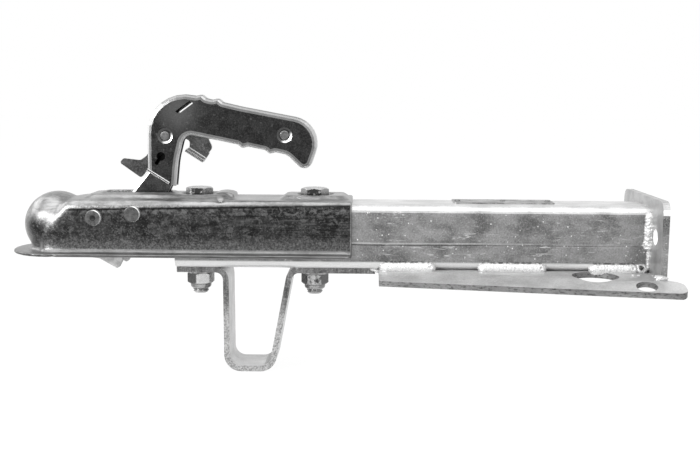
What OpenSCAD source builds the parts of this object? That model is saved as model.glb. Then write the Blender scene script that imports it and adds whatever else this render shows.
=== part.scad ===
// Ball coupling head on a short square drawbar, with a prop foot, an end plate and a base plate.
// Origin: centre of the ball in the socket. +X runs rearward along the drawbar, +Z is up.

/* [Ball socket] */
// Diameter of the tow ball that the socket takes
ball_d = 50; // [46:0.5:52]
// Gap between the ball and the pressed socket
ball_gap = 0.4; // [0.2:0.1:0.8]
/* [Pressed head] */
// Thickness of the pressed sheet
sheet_t = 3; // [2.5:0.25:3.5]
// Ball centre to the rear end of the head
head_len = 256; // [250:1:280]
// Gap on each side between the head and the drawbar tube
head_fit = 0.5; // [0.3:0.1:1.5]
// Seating gap between the head's roof and the drawbar tube
roof_gap = 0.1; // [0.05:0.05:0.3]
// Ball centre down to the underside of the rim
rim_drop = 24; // [22:0.5:26]
// How far the rim stands out from the side walls
rim_w = 7.2; // [6:0.2:10]
// Radius of the bend between wall and rim
rim_bend_r = 4; // [3:0.5:4.5]
// Plan radius at the rear corners of the rim
rim_corner_r = 6; // [3:1:7]
// Ball centre forward to the front of the channel
channel_front = 8; // [6:0.5:9]
// Ball centre to the middle of the front shoulder bend
shoulder_x = 17.7; // [15:0.1:19]
// Shoulder radius of the channel at the front
shoulder_front_r = 9; // [8:0.5:10]
// Shoulder radius of the channel at the rear end
shoulder_rear_r = 5; // [4.5:0.5:8]
// Height of the raised areas on top
pad_rise = 3.6; // [2:0.2:4]
// Half width of the raised areas at their top
pad_half = 17; // [15:0.5:18]
// Length of the slope that leads up to a raised area
pad_slope = 5; // [3:0.5:8]
// Ball centre to the start of the front raised area
pad_front_x = 32; // [30:1:34]
// Rear edge of the front raised area, behind the front bolt
pad_front_tail = 26; // [24:1:32]
// Rear raised area, each way from the rear bolt
pad_rear_reach = 25; // [22:1:27]
// Diameter of the flat seat round each head bolt
seat_d = 31; // [29:1:34]
/* [Lever slot] */
// Ball centre to the front end of the slot
slot_front = 43; // [41:0.5:45]
// Ball centre to the rear end of the slot
slot_rear = 100.5; // [100:0.5:103]
// Width of the slot
slot_w = 20; // [18:0.5:22]
// Width of the raised lip round the slot
lip_w = 2.6; // [2:0.2:4]
// Height of the raised lip
lip_h = 1.3; // [0.8:0.1:1.6]
/* [Cross pins] */
// Diameter of both cross pins
pin_d = 10; // [8:0.5:10]
// Running gap on the radius round a pin or rivet
run_gap = 0.05; // [0.03:0.01:0.09]
// Diameter of the pin heads
pin_head_d = 13.4; // [12:0.2:15]
// How far a pin head stands out
pin_head_h = 4.6; // [3:0.2:6]
// Jaw pin, rearward of the ball centre
jaw_pin_x = 39.4; // [38:0.1:40]
// Jaw pin, above the ball centre
jaw_pin_z = 9.2; // [8:0.1:10]
// Lever pin, rearward of the ball centre
lever_pin_x = 72.2; // [71:0.1:73.5]
// Lever pin, above the ball centre
lever_pin_z = 12.6; // [11:0.1:13]
/* [Ball jaw] */
// Half width of the jaw
jaw_half = 20; // [19:0.5:22]
// Thickness of each side ear of the jaw
ear_t = 7; // [6:0.5:8]
// Thickness of the saddle behind the ball
saddle_t = 6; // [5:0.5:7]
// Radius of the jaw's hub round its pin
jaw_hub_r = 9; // [8:0.5:9.5]
// Diameter of the round bar that the lever's cam presses on
push_bar_d = 8; // [7:0.5:9]
/* [Lever] */
// Outer width of the folded lever
lever_w = 13; // [12:0.5:14]
// Thickness of the lever's sheet
lever_t = 3; // [2.5:0.25:3.25]
// Outer radius of the lever's front fold
lever_fold_r = 2.8; // [2:0.2:3]
// Radius of the lever's hub round its pin
lever_hub_r = 11; // [9.5:0.5:11.5]
// Radius of the cam nose
cam_r = 6.5; // [5.5:0.5:7]
// Gap between the cam nose and the push bar when closed
cam_gap = 0.4; // [0.2:0.1:1]
/* [Handle] */
// Thickness of the handle's sheet
grip_t = 2; // [1.5:0.25:2.5]
// Outer radius of the handle's long edges
grip_edge_r = 4; // [3.4:0.2:4.6]
// Width of the opening along the underside
grip_slit = 8; // [7:0.5:9]
// Height of the pressed finger waves
wave_h = 2.3; // [1.4:0.1:2.6]
// How far the flared hem stands out along the handle's bottom edge
hem_out = 0.6; // [0.3:0.1:0.9]
/* [Rivets] */
// Shank diameter of the handle's two rivets
rivet_d = 5; // [4:0.25:6]
// Head diameter of the handle's two rivets
rivet_head_d = 7.6; // [7:0.2:8.4]
// Head height of the handle's two rivets
rivet_head_h = 1.8; // [1.4:0.1:2.2]
// Depth of the pressed dimple round each rivet
dimple_h = 1; // [0.6:0.1:1.3]
/* [Trigger] */
// Thickness of the trigger plate
trigger_t = 3; // [2.5:0.25:3.25]
// Width of the finger pad, across the handle
finger_pad_w = 13; // [10:0.5:15]
// Thickness of the finger pad
finger_pad_t = 2.8; // [2:0.2:3]
// Number of grooves along the finger pad's edge
groove_count = 11; // [7:2:13]
/* [Head bolts] */
// Thread diameter of the head bolts
bolt_d = 14; // [12:1:15]
// Width across flats of bolt heads and nuts
bolt_af = 21; // [20:0.5:22]
// Height of a bolt head
bolt_head_h = 8.8; // [7:0.2:10]
// Ball centre to the front head bolt
bolt_front_x = 124; // [122:0.5:126]
// Distance between the two head bolts
bolt_pitch = 100; // [97:0.5:101]
// Diameter of the bolt holes
bolt_hole_d = 15.5; // [15.5:0.25:17]
// Thread that shows below a nut
bolt_tip = 4.2; // [2:0.2:8]
// Height of a lock nut
nut_h = 14; // [11:0.5:16]
// Diameter of a washer
washer_d = 25; // [24:0.5:27]
// Thickness of a washer
washer_t = 2.5; // [1.5:0.25:3]
/* [Drawbar] */
// Width and height of the square tube
tube_w = 55; // [53:0.5:56]
// Wall of the square tube
tube_wall = 3; // [2.5:0.25:4]
// Corner radius of the square tube
tube_corner_r = 8; // [6.5:0.5:9]
// Ball centre up to the top of the tube
tube_top = 21; // [20.5:0.25:22]
// Ball centre to the front end of the tube
tube_front = 106; // [104:0.5:107]
// Ball centre to the face of the tube's rear end
tube_rear = 506; // [500:1:540]
/* [End plate] */
// Thickness of the end plate
end_t = 5.5; // [5:0.5:8]
// Half width of the end plate
end_half = 61; // [59:0.5:64]
// How far the end plate stands above the tube
end_rise = 8; // [6:0.5:14]
// Corner radius of the end plate
end_corner_r = 9; // [4:1:12]
// Diameter of the end plate's holes
end_hole_d = 13; // [11:0.5:14]
// Distance between the end plate's holes
end_hole_pitch = 84; // [82:0.5:90]
// End plate's holes, above the middle of the tube
end_hole_rise = 4.5; // [0:0.5:8]
/* [Base plate] */
// Thickness of the base plate
base_t = 5; // [4:0.5:6]
// Ball centre to the front edge of the base plate
base_front = 279; // [278:1:290]
// How far the wings of the base plate reach past the end plate
base_tail = 9.5; // [5:0.5:14]
// Half width between the creases at the front edge
crease_front = 28; // [26:0.5:30]
// Half width between the creases at the rear edge
crease_rear = 72; // [70:0.5:80]
// Width of the bent-down wings
wing_w = 20; // [19:0.5:24]
// Angle of the bent-down wings
wing_tilt = 16; // [10:1:22]
// Diameter of the two large holes
base_hole_d = 38; // [30:1:38]
// Large holes, in front of the end plate
base_hole_ahead = 49; // [46:1:55]
// Large holes, out from the middle
base_hole_out = 47; // [44:0.5:50]
// Diameter of the two wing holes
wing_hole_d = 17; // [12:0.5:17]
// Wing holes, in front of the end plate
wing_hole_ahead = 13; // [12:1:30]
/* [Welds] */
// Radius of the weld beads
weld_r = 5.6; // [5.2:0.2:6.4]
/* [Rating plate] */
// Length of the rating plate
rating_len = 86; // [70:1:95]
// Width of the rating plate
rating_w = 28; // [20:1:32]
// Thickness of the rating plate
rating_t = 1; // [0.6:0.1:1.5]
// Ball centre to the front edge of the rating plate
rating_front = 343; // [335:1:350]
/* [Prop foot] */
// Width of the foot's flat bar
foot_w = 38; // [36:1:44]
// Thickness of the foot's flat bar
foot_t = 5; // [4:0.5:6]
// Drawbar underside down to the bottom of the foot
foot_h = 92; // [80:1:110]
// Length of the foot's rear flange behind the rear bolt
foot_tail = 52; // [49:1:54]
/* [Hidden] */
$fn = 48;
// Reach of a cut past a face
cut = 1;
// Smallest radius of a rounded corner
tiny_r = 0.5;
// Segments of a curve inside a hull
soft_fn = 32;

// Levels and half widths worked out from the sizes above
tube_half = tube_w / 2;
inner_half = tube_half + head_fit;
channel_half = inner_half + sheet_t;
head_top = tube_top + roof_gap + sheet_t;
tube_bottom = tube_top - tube_w;
tube_mid = tube_top - tube_half;
rim_bottom = -rim_drop;
rim_top = rim_bottom + sheet_t;
rim_half = channel_half + rim_w;
socket_r = ball_d / 2 + ball_gap;
dome_r = socket_r + sheet_t;
pad_top = head_top + pad_rise;
bolt_rear_x = bolt_front_x + bolt_pitch;
bolt_xs = [bolt_front_x, bolt_rear_x];
foot_under = tube_bottom - foot_t;
nut_top = foot_under - washer_t;
nut_bottom = nut_top - nut_h;
base_rear = tube_rear + end_t + base_tail;
jaw_axis = [jaw_pin_x, jaw_pin_z];
lever_axis = [lever_pin_x, lever_pin_z];
lever_half = lever_w / 2;
grip_half = lever_half + grip_t;
lever_inner_half = lever_half - lever_t;

// Joined directions and corners of an outline in the XZ plane, listed anticlockwise as [x, z, radius]
function flat(p) = [p[0], p[1]];
function unit(v) = v / norm(v);
function turned(v) = [-v[1], v[0]];
function ahead(c, i) = unit(flat(c[(i + 1) % len(c)]) - flat(c[i]));
function behind(c, i) = unit(flat(c[i]) - flat(c[(i + len(c) - 1) % len(c)]));
function turn_sign(c, i) = cross(behind(c, i), ahead(c, i)) < 0 ? -1 : 1;
function half_turn(c, i) = acos(min(1, behind(c, i) * ahead(c, i))) / 2;
// Corner i moved inward by d, as the meeting point of its two moved edges
function moved_corner(c, i, d) =
    let (a = turned(behind(c, i)), b = turned(ahead(c, i)))
    flat(c[i]) + d * (a + b) / (1 + a * b);
// Arc that rounds corner i of the outline moved inward by d, with n steps to a quarter turn
function arc_steps(c, i, n) = max(1, ceil(half_turn(c, i) * n / 45 - 0.01));
function corner_arc(c, i, d, n) =
    let (s = turn_sign(c, i), h = half_turn(c, i), u = behind(c, i))
    let (r = max(c[i][2] - s * d, tiny_r))
    let (centre = moved_corner(c, i, d) - r * tan(h) * u + s * r * turned(u))
    let (from = -s * turned(u), start = atan2(from[1], from[0]), step = s * 2 * h / arc_steps(c, i, n))
    [for (k = [0:arc_steps(c, i, n)]) centre + r * [cos(start + step * k), sin(start + step * k)]];
function outline(c, d = 0, n = 6) = [for (i = [0:len(c) - 1]) each corner_arc(c, i, d, n)];
// One side of an open path, d to its left, with its inner corners rounded
function path_side(c, d, n) =
    let (e = len(c) - 1)
    concat([flat(c[0]) + d * turned(ahead(c, 0))],
        [for (i = [1:e - 1]) each corner_arc(c, i, d, n)],
        [flat(c[e]) + d * turned(behind(c, e))]);
function reversed(p) = [for (i = [len(p) - 1:-1:0]) p[i]];
// Closed outline of a bar of thickness t bent along an open path
function bent_bar(c, t, n = 6) = concat(path_side(c, -t / 2, n), reversed(path_side(c, t / 2, n)));

// XZ outline extruded across the part from y0 to y1
module plate(y0, y1) {
    translate([0, y1, 0]) rotate([90, 0, 0]) linear_extrude(y1 - y0) children();
}

// Round bar across the part at [x, z]
module cross_bar(at, d, y0, y1) {
    translate([at[0], y1, at[1]]) rotate([90, 0, 0]) cylinder(d = d, h = y1 - y0);
}

// Solid across the part whose two long edges are rounded, made as rings from side to side
module rounded_form(c, half_w, edge_r, d = 0, steps = 3, n = 5) {
    sides = [for (k = [0:steps]) 90 * k / steps];
    rings = concat(
        [for (a = reversed(sides)) [-half_w + edge_r - edge_r * sin(a), d + edge_r - edge_r * cos(a)]],
        [for (a = sides) [half_w - edge_r + edge_r * sin(a), d + edge_r - edge_r * cos(a)]]);
    m = len(outline(c, 0, n));
    last = len(rings) - 1;
    points = [for (ring = rings) each [for (p = outline(c, ring[1], n)) [p[0], ring[0], p[1]]]];
    skin = [for (j = [0:last - 1]) each
        [for (i = [0:m - 1]) [j * m + i, j * m + (i + 1) % m, (j + 1) * m + (i + 1) % m, (j + 1) * m + i]]];
    polyhedron(points, concat([[for (i = [m - 1:-1:0]) i]], skin, [[for (i = [0:m - 1]) last * m + i]]));
}

// Wire of diameter d wound round the Y axis, with a straight leg at each end
module torsion_coil(mean_r, wire_d, turns, y0, length, leg, sides = 6, per_turn = 16) {
    steps = round(turns * per_turn);
    m = sides;
    function place(k) =
        [mean_r * cos(360 * k / per_turn), y0 + length * k / steps, mean_r * sin(360 * k / per_turn)];
    function outward(k) = [cos(360 * k / per_turn), 0, sin(360 * k / per_turn)];
    function along(k) = [-sin(360 * k / per_turn), 0, cos(360 * k / per_turn)];
    function ring(centre, out) =
        [for (s = [0:m - 1]) centre + wire_d / 2 * (cos(360 * s / m) * out + [0, sin(360 * s / m), 0])];
    rows = concat([ring(place(0) - leg * along(0), outward(0))],
        [for (k = [0:steps]) ring(place(k), outward(k))],
        [ring(place(steps) + leg * along(steps), outward(steps))]);
    last = len(rows) - 1;
    skin = [for (j = [0:last - 1]) each
        [for (i = [0:m - 1]) [j * m + i, j * m + (i + 1) % m, (j + 1) * m + (i + 1) % m, (j + 1) * m + i]]];
    polyhedron([for (row = rows) each row],
        concat([[for (i = [m - 1:-1:0]) i]], skin, [[for (i = [0:m - 1]) last * m + i]]));
}

// Both sides of the part, mirrored about its middle plane
module both_sides() {
    children();
    mirror([0, 1, 0]) children();
}

// Hexagon prism with its outer corners turned off at the top or at both ends
module hex_body(h, chamfer_low) {
    corner_r = bolt_af / 2 / cos(30);
    face_r = bolt_af / 2 * 0.95;
    slope_h = corner_r - face_r;
    intersection() {
        rotate([0, 0, 30]) cylinder(r = corner_r, h = h, $fn = 6);
        union() {
            translate([0, 0, h - slope_h]) cylinder(r1 = corner_r, r2 = face_r, h = slope_h);
            if (chamfer_low) {
                cylinder(r1 = face_r, r2 = corner_r, h = slope_h);
                translate([0, 0, slope_h]) cylinder(r = corner_r, h = h - 2 * slope_h);
            } else {
                cylinder(r = corner_r, h = h - slope_h);
            }
        }
    }
}

// Channel of the head as a soft block, inset evenly; the hollow runs on below and behind
module channel_form(inset, low, rear) {
    front_r = shoulder_front_r - inset;
    side_y = channel_half - shoulder_front_r;
    nose_x = shoulder_front_r - channel_front;
    hull() {
        both_sides() {
            translate([shoulder_x, side_y, head_top - shoulder_front_r]) sphere(r = front_r, $fn = soft_fn);
            translate([nose_x, side_y, shoulder_front_r - 14]) sphere(r = front_r, $fn = soft_fn);
            translate([nose_x, side_y, low]) cylinder(r = front_r, h = cut, $fn = soft_fn);
            translate([rear - cut, channel_half - shoulder_rear_r, head_top - shoulder_rear_r])
                rotate([0, 90, 0]) cylinder(r = shoulder_rear_r - inset, h = cut, $fn = soft_fn);
            translate([rear - cut, 0, low]) cube([cut, channel_half - inset, cut]);
        }
    }
}

// Raised area on top of the head from x0 to x1, inset evenly
module raised_area(x0, x1, inset) {
    foot_r = 8 - inset;
    top_r = 6 - inset;
    low_half = pad_half + pad_slope - foot_r - inset;
    hull() {
        both_sides() {
            for (x = [x0 - pad_slope + foot_r + inset, x1 + pad_slope - foot_r - inset])
                translate([x, low_half, head_top - sheet_t - inset])
                    cylinder(r = foot_r, h = sheet_t, $fn = soft_fn);
            for (x = [x0 + top_r + inset, x1 - top_r - inset])
                translate([x, pad_half - top_r - inset, pad_top - inset - cut])
                    cylinder(r = top_r, h = cut, $fn = soft_fn);
        }
    }
}

// Plan of the rim: round in front, straight at the sides, with rounded rear corners
module rim_plan() {
    circle(r = rim_half, $fn = 96);
    translate([0, -rim_half]) square([head_len - rim_corner_r, 2 * rim_half]);
    for (s = [-1, 1])
        translate([head_len - rim_corner_r, s * (rim_half - rim_corner_r)]) circle(r = rim_corner_r);
    translate([head_len - rim_corner_r, rim_corner_r - rim_half])
        square([rim_corner_r, 2 * (rim_half - rim_corner_r)]);
}

// Half section of the dome below the ball centre with its bend out to the rim, as a solid of revolution
bend_z = rim_top + rim_bend_r;
bend_x = sqrt((dome_r + rim_bend_r) * (dome_r + rim_bend_r) - bend_z * bend_z);
module dome_skirt() {
    rotate_extrude($fn = 96) difference() {
        translate([0, rim_bottom]) square([bend_x, bend_z * dome_r / (dome_r + rim_bend_r) - rim_bottom]);
        translate([bend_x, bend_z]) circle(r = rim_bend_r);
    }
}

// Hollow that the dome's underside opens with, following the same bend
module dome_mouth() {
    mouth_r = rim_bend_r + sheet_t;
    mouth_top = bend_z * socket_r / (dome_r + rim_bend_r);
    rotate_extrude($fn = 96) difference() {
        translate([0, rim_bottom - cut]) square([bend_x, mouth_top - rim_bottom + cut]);
        translate([bend_x, bend_z]) circle(r = mouth_r);
        translate([bend_x - mouth_r, rim_bottom - 2 * cut]) square([2 * mouth_r, cut]);
    }
}

// Bend strip between one side wall and the rim, outside or, as a hollow, inside
module wall_bend(r, low) {
    wall_y = channel_half + rim_bend_r;
    x0 = shoulder_front_r - channel_front;
    translate([x0, 0, 0]) rotate([90, 0, 90]) linear_extrude(head_len - rim_corner_r - x0) difference() {
        translate([wall_y - r - 0.5, low]) square([r + 0.5, bend_z - low]);
        translate([wall_y, bend_z]) circle(r = r);
    }
}

// Bend round one front corner of the channel
module corner_bend() {
    side_y = channel_half - shoulder_front_r;
    r = rim_bend_r;
    translate([shoulder_front_r - channel_front, side_y, 0]) rotate_extrude($fn = 64) difference() {
        translate([shoulder_front_r - 0.5, rim_bottom]) square([r + 0.5, bend_z - rim_bottom]);
        translate([shoulder_front_r + r, bend_z]) circle(r = r);
    }
}

// Stadium outline of the lever slot, grown by g
function slot_corners(g) =
    let (x0 = slot_front - g, x1 = slot_rear + g, h = slot_w / 2 + g, r = 5 + g)
    [[x0, -h, r], [x1, -h, r], [x1, h, r], [x0, h, r]];

// Cross ridge pressed up at the end of the front raised area
ridge_x = bolt_front_x + 22;
ridge_r = 20;
ridge_rise = 2;
ridge_half = 13;
ridge_len = 18;
// Notch pressed in each shoulder beside the ridge, and nick in each edge of the rim
notch_x = ridge_x - 1;
notch_r = 5.4;
notch_in = 5;
notch_up = 2.6;
nick_x = 4.5;
nick_r = 2.4;
module coupling_head() {
    pad_front_end = bolt_front_x + pad_front_tail;
    color("silver") difference() {
        union() {
            sphere(r = dome_r, $fn = 96);
            dome_skirt();
            channel_form(0, rim_bottom, head_len);
            raised_area(pad_front_x, pad_front_end, 0);
            raised_area(bolt_rear_x - pad_rear_reach, bolt_rear_x + pad_rear_reach, 0);
            translate([0, 0, rim_bottom]) linear_extrude(sheet_t) rim_plan();
            both_sides() wall_bend(rim_bend_r, rim_bottom);
            both_sides() corner_bend();
            linear_extrude(pad_top + lip_h) polygon(outline(slot_corners(lip_w)));
            intersection() {
                cross_bar([ridge_x, pad_top + ridge_rise - ridge_r], 2 * ridge_r, -ridge_half, ridge_half);
                translate([ridge_x - ridge_len / 2, -ridge_half, head_top - cut])
                    cube([ridge_len, 2 * ridge_half, ridge_r]);
            }
        }
        sphere(r = socket_r, $fn = 96);
        translate([0, 0, rim_bottom - dome_r]) cylinder(r = dome_r + cut, h = dome_r);
        dome_mouth();
        channel_form(sheet_t, rim_bottom - 2 * cut, head_len + 2 * cut);
        both_sides() wall_bend(rim_bend_r + sheet_t, rim_bottom - cut);
        difference() {
            raised_area(pad_front_x, pad_front_end, sheet_t);
            translate([bolt_front_x, 0, 0]) cylinder(d = seat_d + sheet_t, h = pad_top);
        }
        difference() {
            raised_area(bolt_rear_x - pad_rear_reach, bolt_rear_x + pad_rear_reach, sheet_t);
            translate([bolt_rear_x, 0, 0]) cylinder(d = seat_d + sheet_t, h = pad_top);
        }
        for (x = bolt_xs) {
            translate([x, 0, head_top]) cylinder(d = seat_d, h = pad_rise + 10);
            translate([x, 0, 0]) cylinder(d = bolt_hole_d, h = pad_top);
        }
        linear_extrude(pad_top + lip_h + cut) polygon(outline(slot_corners(0)));
        for (axis = [jaw_axis, lever_axis])
            cross_bar(axis, pin_d + 2 * run_gap, -channel_half - 2 * cut, channel_half + 2 * cut);
        both_sides() translate([notch_x, channel_half - notch_in, head_top + notch_up]) sphere(r = notch_r);
        both_sides() translate([nick_x, rim_half + cut, rim_bottom - cut])
            cylinder(r = nick_r, h = sheet_t + 2 * cut);
    }
}

// Cross pin with a round head at each end; a dished head has a shallow centre mark
module cross_pin(axis, dished) {
    out = channel_half + pin_head_h;
    difference() {
        union() {
            cross_bar(axis, pin_d, -channel_half, channel_half);
            both_sides() {
                cross_bar(axis, pin_head_d, channel_half, out - 0.8);
                translate([axis[0], out, axis[1]]) rotate([90, 0, 0])
                    cylinder(d1 = pin_head_d - 1.2, d2 = pin_head_d, h = 0.8);
            }
        }
        if (dished) both_sides() translate([axis[0], out + 0.5, axis[1]]) rotate([90, 0, 0])
            cylinder(d1 = 5, d2 = 1.5, h = 1.3);
    }
}

module jaw_pin() {
    color("gainsboro") cross_pin(jaw_axis, true);
}

module lever_pin() {
    color("gainsboro") cross_pin(lever_axis, false);
}

// Sleeves on a pin that fill the room between a moving piece and the walls, less a gap at each end
side_gap = 0.3;
jaw_sleeve_gap = 0.15;
// The lever's sleeves stop short of the bend between the wall and the roof
lever_sleeve_gap = 1.8;
module pin_sleeves(axis, from, outer_d, wall_gap) {
    both_sides() difference() {
        cross_bar(axis, outer_d, from + side_gap, inner_half - wall_gap);
        cross_bar(axis, pin_d + 2 * run_gap, from, inner_half + cut);
    }
}

sleeve_t = 1.2;
module jaw_spacers() {
    color("dimgray") pin_sleeves(jaw_axis, jaw_half, pin_d + 2 * sleeve_t, jaw_sleeve_gap);
}

module lever_spacers() {
    color("dimgray") pin_sleeves(lever_axis, lever_half, pin_d + 2 * sleeve_t, lever_sleeve_gap);
}

spring_wire = 1.8;
spring_mean_r = pin_d / 2 + sleeve_t + spring_wire / 2 + 0.2;
module jaw_spring() {
    free = inner_half - jaw_half - side_gap - spring_wire - 1;
    from = jaw_half + side_gap + spring_wire / 2 + 0.5;
    color("darkgray") translate([jaw_axis[0], 0, jaw_axis[1]])
        torsion_coil(spring_mean_r, spring_wire, 1.75, from, free, 4);
}

module lever_spring(side) {
    from = lever_half + side_gap + spring_wire / 2 + 1;
    color("darkgray") translate([lever_axis[0], 0, lever_axis[1]])
        scale([1, side, 1]) torsion_coil(spring_mean_r, spring_wire, 4.5, from, 14, 10);
}

module lever_spring_left() {
    lever_spring(-1);
}

module lever_spring_right() {
    lever_spring(1);
}

// Jaw seen from the side: lip, lower edge, tail and hub
jaw_corners = [[11.5, -22.8, 1], [22, -25.6, 6], [40, -27.4, 4], [55.6, -36.2, 1.5], [60, -28, 2],
    [50, -9, 8], [jaw_pin_x + jaw_hub_r, jaw_pin_z + 3, 4], [jaw_pin_x, jaw_pin_z + jaw_hub_r, 4],
    [24, 9, 3], [16, -12, 3]];
push_bar_at = [jaw_pin_x + 4.2, -17];
module jaw_saddle_side() {
    intersection() {
        polygon(outline(jaw_corners));
        circle(r = socket_r + saddle_t, $fn = 96);
    }
}

module ball_jaw() {
    color("darkgray") difference() {
        union() {
            plate(-jaw_half, jaw_half) jaw_saddle_side();
            both_sides() plate(jaw_half - ear_t, jaw_half) polygon(outline(jaw_corners));
            cross_bar(jaw_axis, 2 * jaw_hub_r, -jaw_half, jaw_half);
            cross_bar(push_bar_at, push_bar_d, -jaw_half, jaw_half);
        }
        sphere(r = socket_r, $fn = 96);
        cross_bar(jaw_axis, pin_d + 2 * run_gap, -jaw_half - cut, jaw_half + cut);
    }
}

// Handle seen from the side without its waves, its front leg carried on below the cut bottom edge
grip_plain = [[80.1, 15, 1], [102.3, 15, 1], [106.6, 57, 40], [112.2, 78.7, 8], [199.7, 61.2, 12],
    [217.4, 44.3, 7], [233.6, 88.6, 23], [161, 102, 60], [80.2, 120.4, 33]];
wave_reach = 4.6;
wave_foot_r = 2.5;
wave_top_r = 3;
// Three corners of a finger wave that stands out of the edge after corner i, with its top at x
function wave(c, i, x) =
    let (u = ahead(c, i), p = flat(c[i]) + u * (x - c[i][0]) / u[0], top = p - wave_h * turned(u))
    [concat(p - wave_reach * u, [wave_foot_r]), concat(top, [wave_top_r]),
        concat(p + wave_reach * u, [wave_foot_r])];
wave_under_front = 162;
wave_under_rear = 185.5;
wave_top_front = 126.8;
wave_top_rear = 140.9;
grip_corners = concat([for (i = [0:3]) grip_plain[i]],
    wave(grip_plain, 3, wave_under_front), wave(grip_plain, 3, wave_under_rear),
    [for (i = [4:7]) grip_plain[i]],
    wave(grip_plain, 7, wave_top_rear), wave(grip_plain, 7, wave_top_front), [grip_plain[8]]);
grip_front_x = grip_plain[0][0];
grip_rear_x = grip_plain[1][0];
// Bottom edge of the handle: a slanted cut down to the tip of the rear edge
hem_front = [grip_front_x, 46.7];
hem_rear = [98.7, 35];
hem_slope = (hem_rear[1] - hem_front[1]) / (hem_rear[0] - hem_front[0]);
grip_foot = [[grip_front_x - 5, 0], [grip_rear_x + 5, 0], [grip_rear_x + 5, hem_rear[1] - 1.6],
    hem_rear, hem_front - [5, 5 * hem_slope]];
// Lever seen from the side above its hub
lever_front_low = [67.2, 30.4, 6];
lever_corners = [[59.8, 2, 8], [84.5, 2, 10], [98.6, 31, 3], [101.6, 37, 2], [103.2, 57, 30],
    [104.2, 70, 1.5], [grip_front_x + grip_t + 0.2, 70, 1.5], [grip_front_x + grip_t + 0.2, 48.7, 3],
    lever_front_low, [59.8, 17, 4]];
cam_reach = (push_bar_d + cam_gap * 2) / 2 + cam_r;
cam_at = push_bar_at + cam_reach * [cos(15), sin(15)];
keyhole_at = [92.2, 59.4];
keyhole_d = 7.4;
keyhole_turn = 236;
keyhole_slot_len = 8.4;
keyhole_slot_w = 3;

// Keyhole in the near side of the front leg: a round hole and a slanted slot
module keyhole() {
    translate(keyhole_at) circle(d = keyhole_d);
    translate(keyhole_at) rotate(keyhole_turn) translate([0, -keyhole_slot_w / 2])
        square([keyhole_slot_len, keyhole_slot_w]);
}

module lever_side() {
    translate(lever_axis) circle(r = lever_hub_r);
    translate(cam_at) circle(r = cam_r);
    polygon([cam_at + [-4.6, 4.6], cam_at + [4.6, -4.6], lever_axis + [9, -6], lever_axis + [-6, 9]]);
    polygon(outline(lever_corners));
}

// Sheet of the lever's front fold: everything within its thickness of the front line
module lever_front_band() {
    polygon([[lever_front_low[0] - 4, lever_front_low[1] - 7],
        [lever_front_low[0] + lever_t - 3, lever_front_low[1] - 7],
        [lever_front_low[0] + lever_t + 1, lever_front_low[1] - 1],
        [lever_corners[7][0] + lever_t, lever_corners[7][1] - 1],
        [lever_corners[6][0] + lever_t, lever_corners[6][1]],
        flat(lever_corners[6]), flat(lever_corners[7]), flat(lever_front_low)]);
}

// Slot in the front folds of lever and handle that the trigger's nose works in
nose_slot_half = trigger_t / 2 + 0.6;
nose_slot_low = 33;
nose_slot_high = 73;
module nose_slot() {
    front = lever_front_low[0] - 5;
    translate([front, -nose_slot_half, nose_slot_low])
        cube([grip_front_x + 8 - front, 2 * nose_slot_half, nose_slot_high - nose_slot_low]);
}

// Cutter that rounds both long edges of a fold along its front line from p to q
module fold_rounding(p, q, half_w, r) {
    run = norm(q - p);
    both_sides() translate([p[0], 0, p[1]]) rotate([0, -atan2(q[1] - p[1], q[0] - p[0]), 0])
        translate([-2, 0, 0]) rotate([90, 0, 90]) linear_extrude(run + 3) difference() {
            translate([half_w - r, -r]) square(r + cut);
            translate([half_w - r, -r]) circle(r = r);
        }
}

module lever() {
    low = flat(lever_front_low);
    knee = flat(lever_corners[7]);
    color("silver") difference() {
        union() {
            both_sides() plate(lever_inner_half, lever_half) lever_side();
            plate(-lever_inner_half, lever_inner_half) lever_front_band();
        }
        fold_rounding(low, knee, lever_half, lever_fold_r);
        fold_rounding(knee, flat(lever_corners[6]), lever_half, lever_fold_r);
        cross_bar(lever_axis, pin_d + 2 * run_gap, -lever_half - cut, lever_half + cut);
        plate(-lever_half - cut, 0) keyhole();
        nose_slot();
    }
}

// Places of the two handle rivets
rivet_front = [95.9, 76.9];
rivet_rear = [197.9, 78.2];
dimple_rim_d = rivet_head_d + 5.5;
dimple_floor_d = rivet_head_d + 1.2;
// Opening along the underside, from the leg's lower end to the handle's tail
module slit_band() {
    polygon(concat([for (i = [1:4]) each corner_arc(grip_plain, i, -2 - wave_h, 6)],
        reversed([for (i = [1:4]) each corner_arc(grip_plain, i, grip_t + 0.8, 6)])));
}

// Marker slot through the near side of the handle's shoulder
marker_at = [112.1, 101.5];
marker_tilt = 36;
marker_len = 15.4;
marker_w = 2.4;
module marker_slot() {
    translate(marker_at) rotate(marker_tilt) square([marker_len, marker_w], center = true);
}

// Bar along each side of the slanted bottom edge, which flares out a little
hem_r = 1.5;
module hem() {
    run = hem_rear - hem_front;
    both_sides() translate([hem_front[0], grip_half + hem_out - hem_r, hem_front[1] + hem_r])
        rotate([0, 90 - atan2(run[1], run[0]), 0]) cylinder(r = hem_r, h = norm(run), $fn = 24);
}

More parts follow.
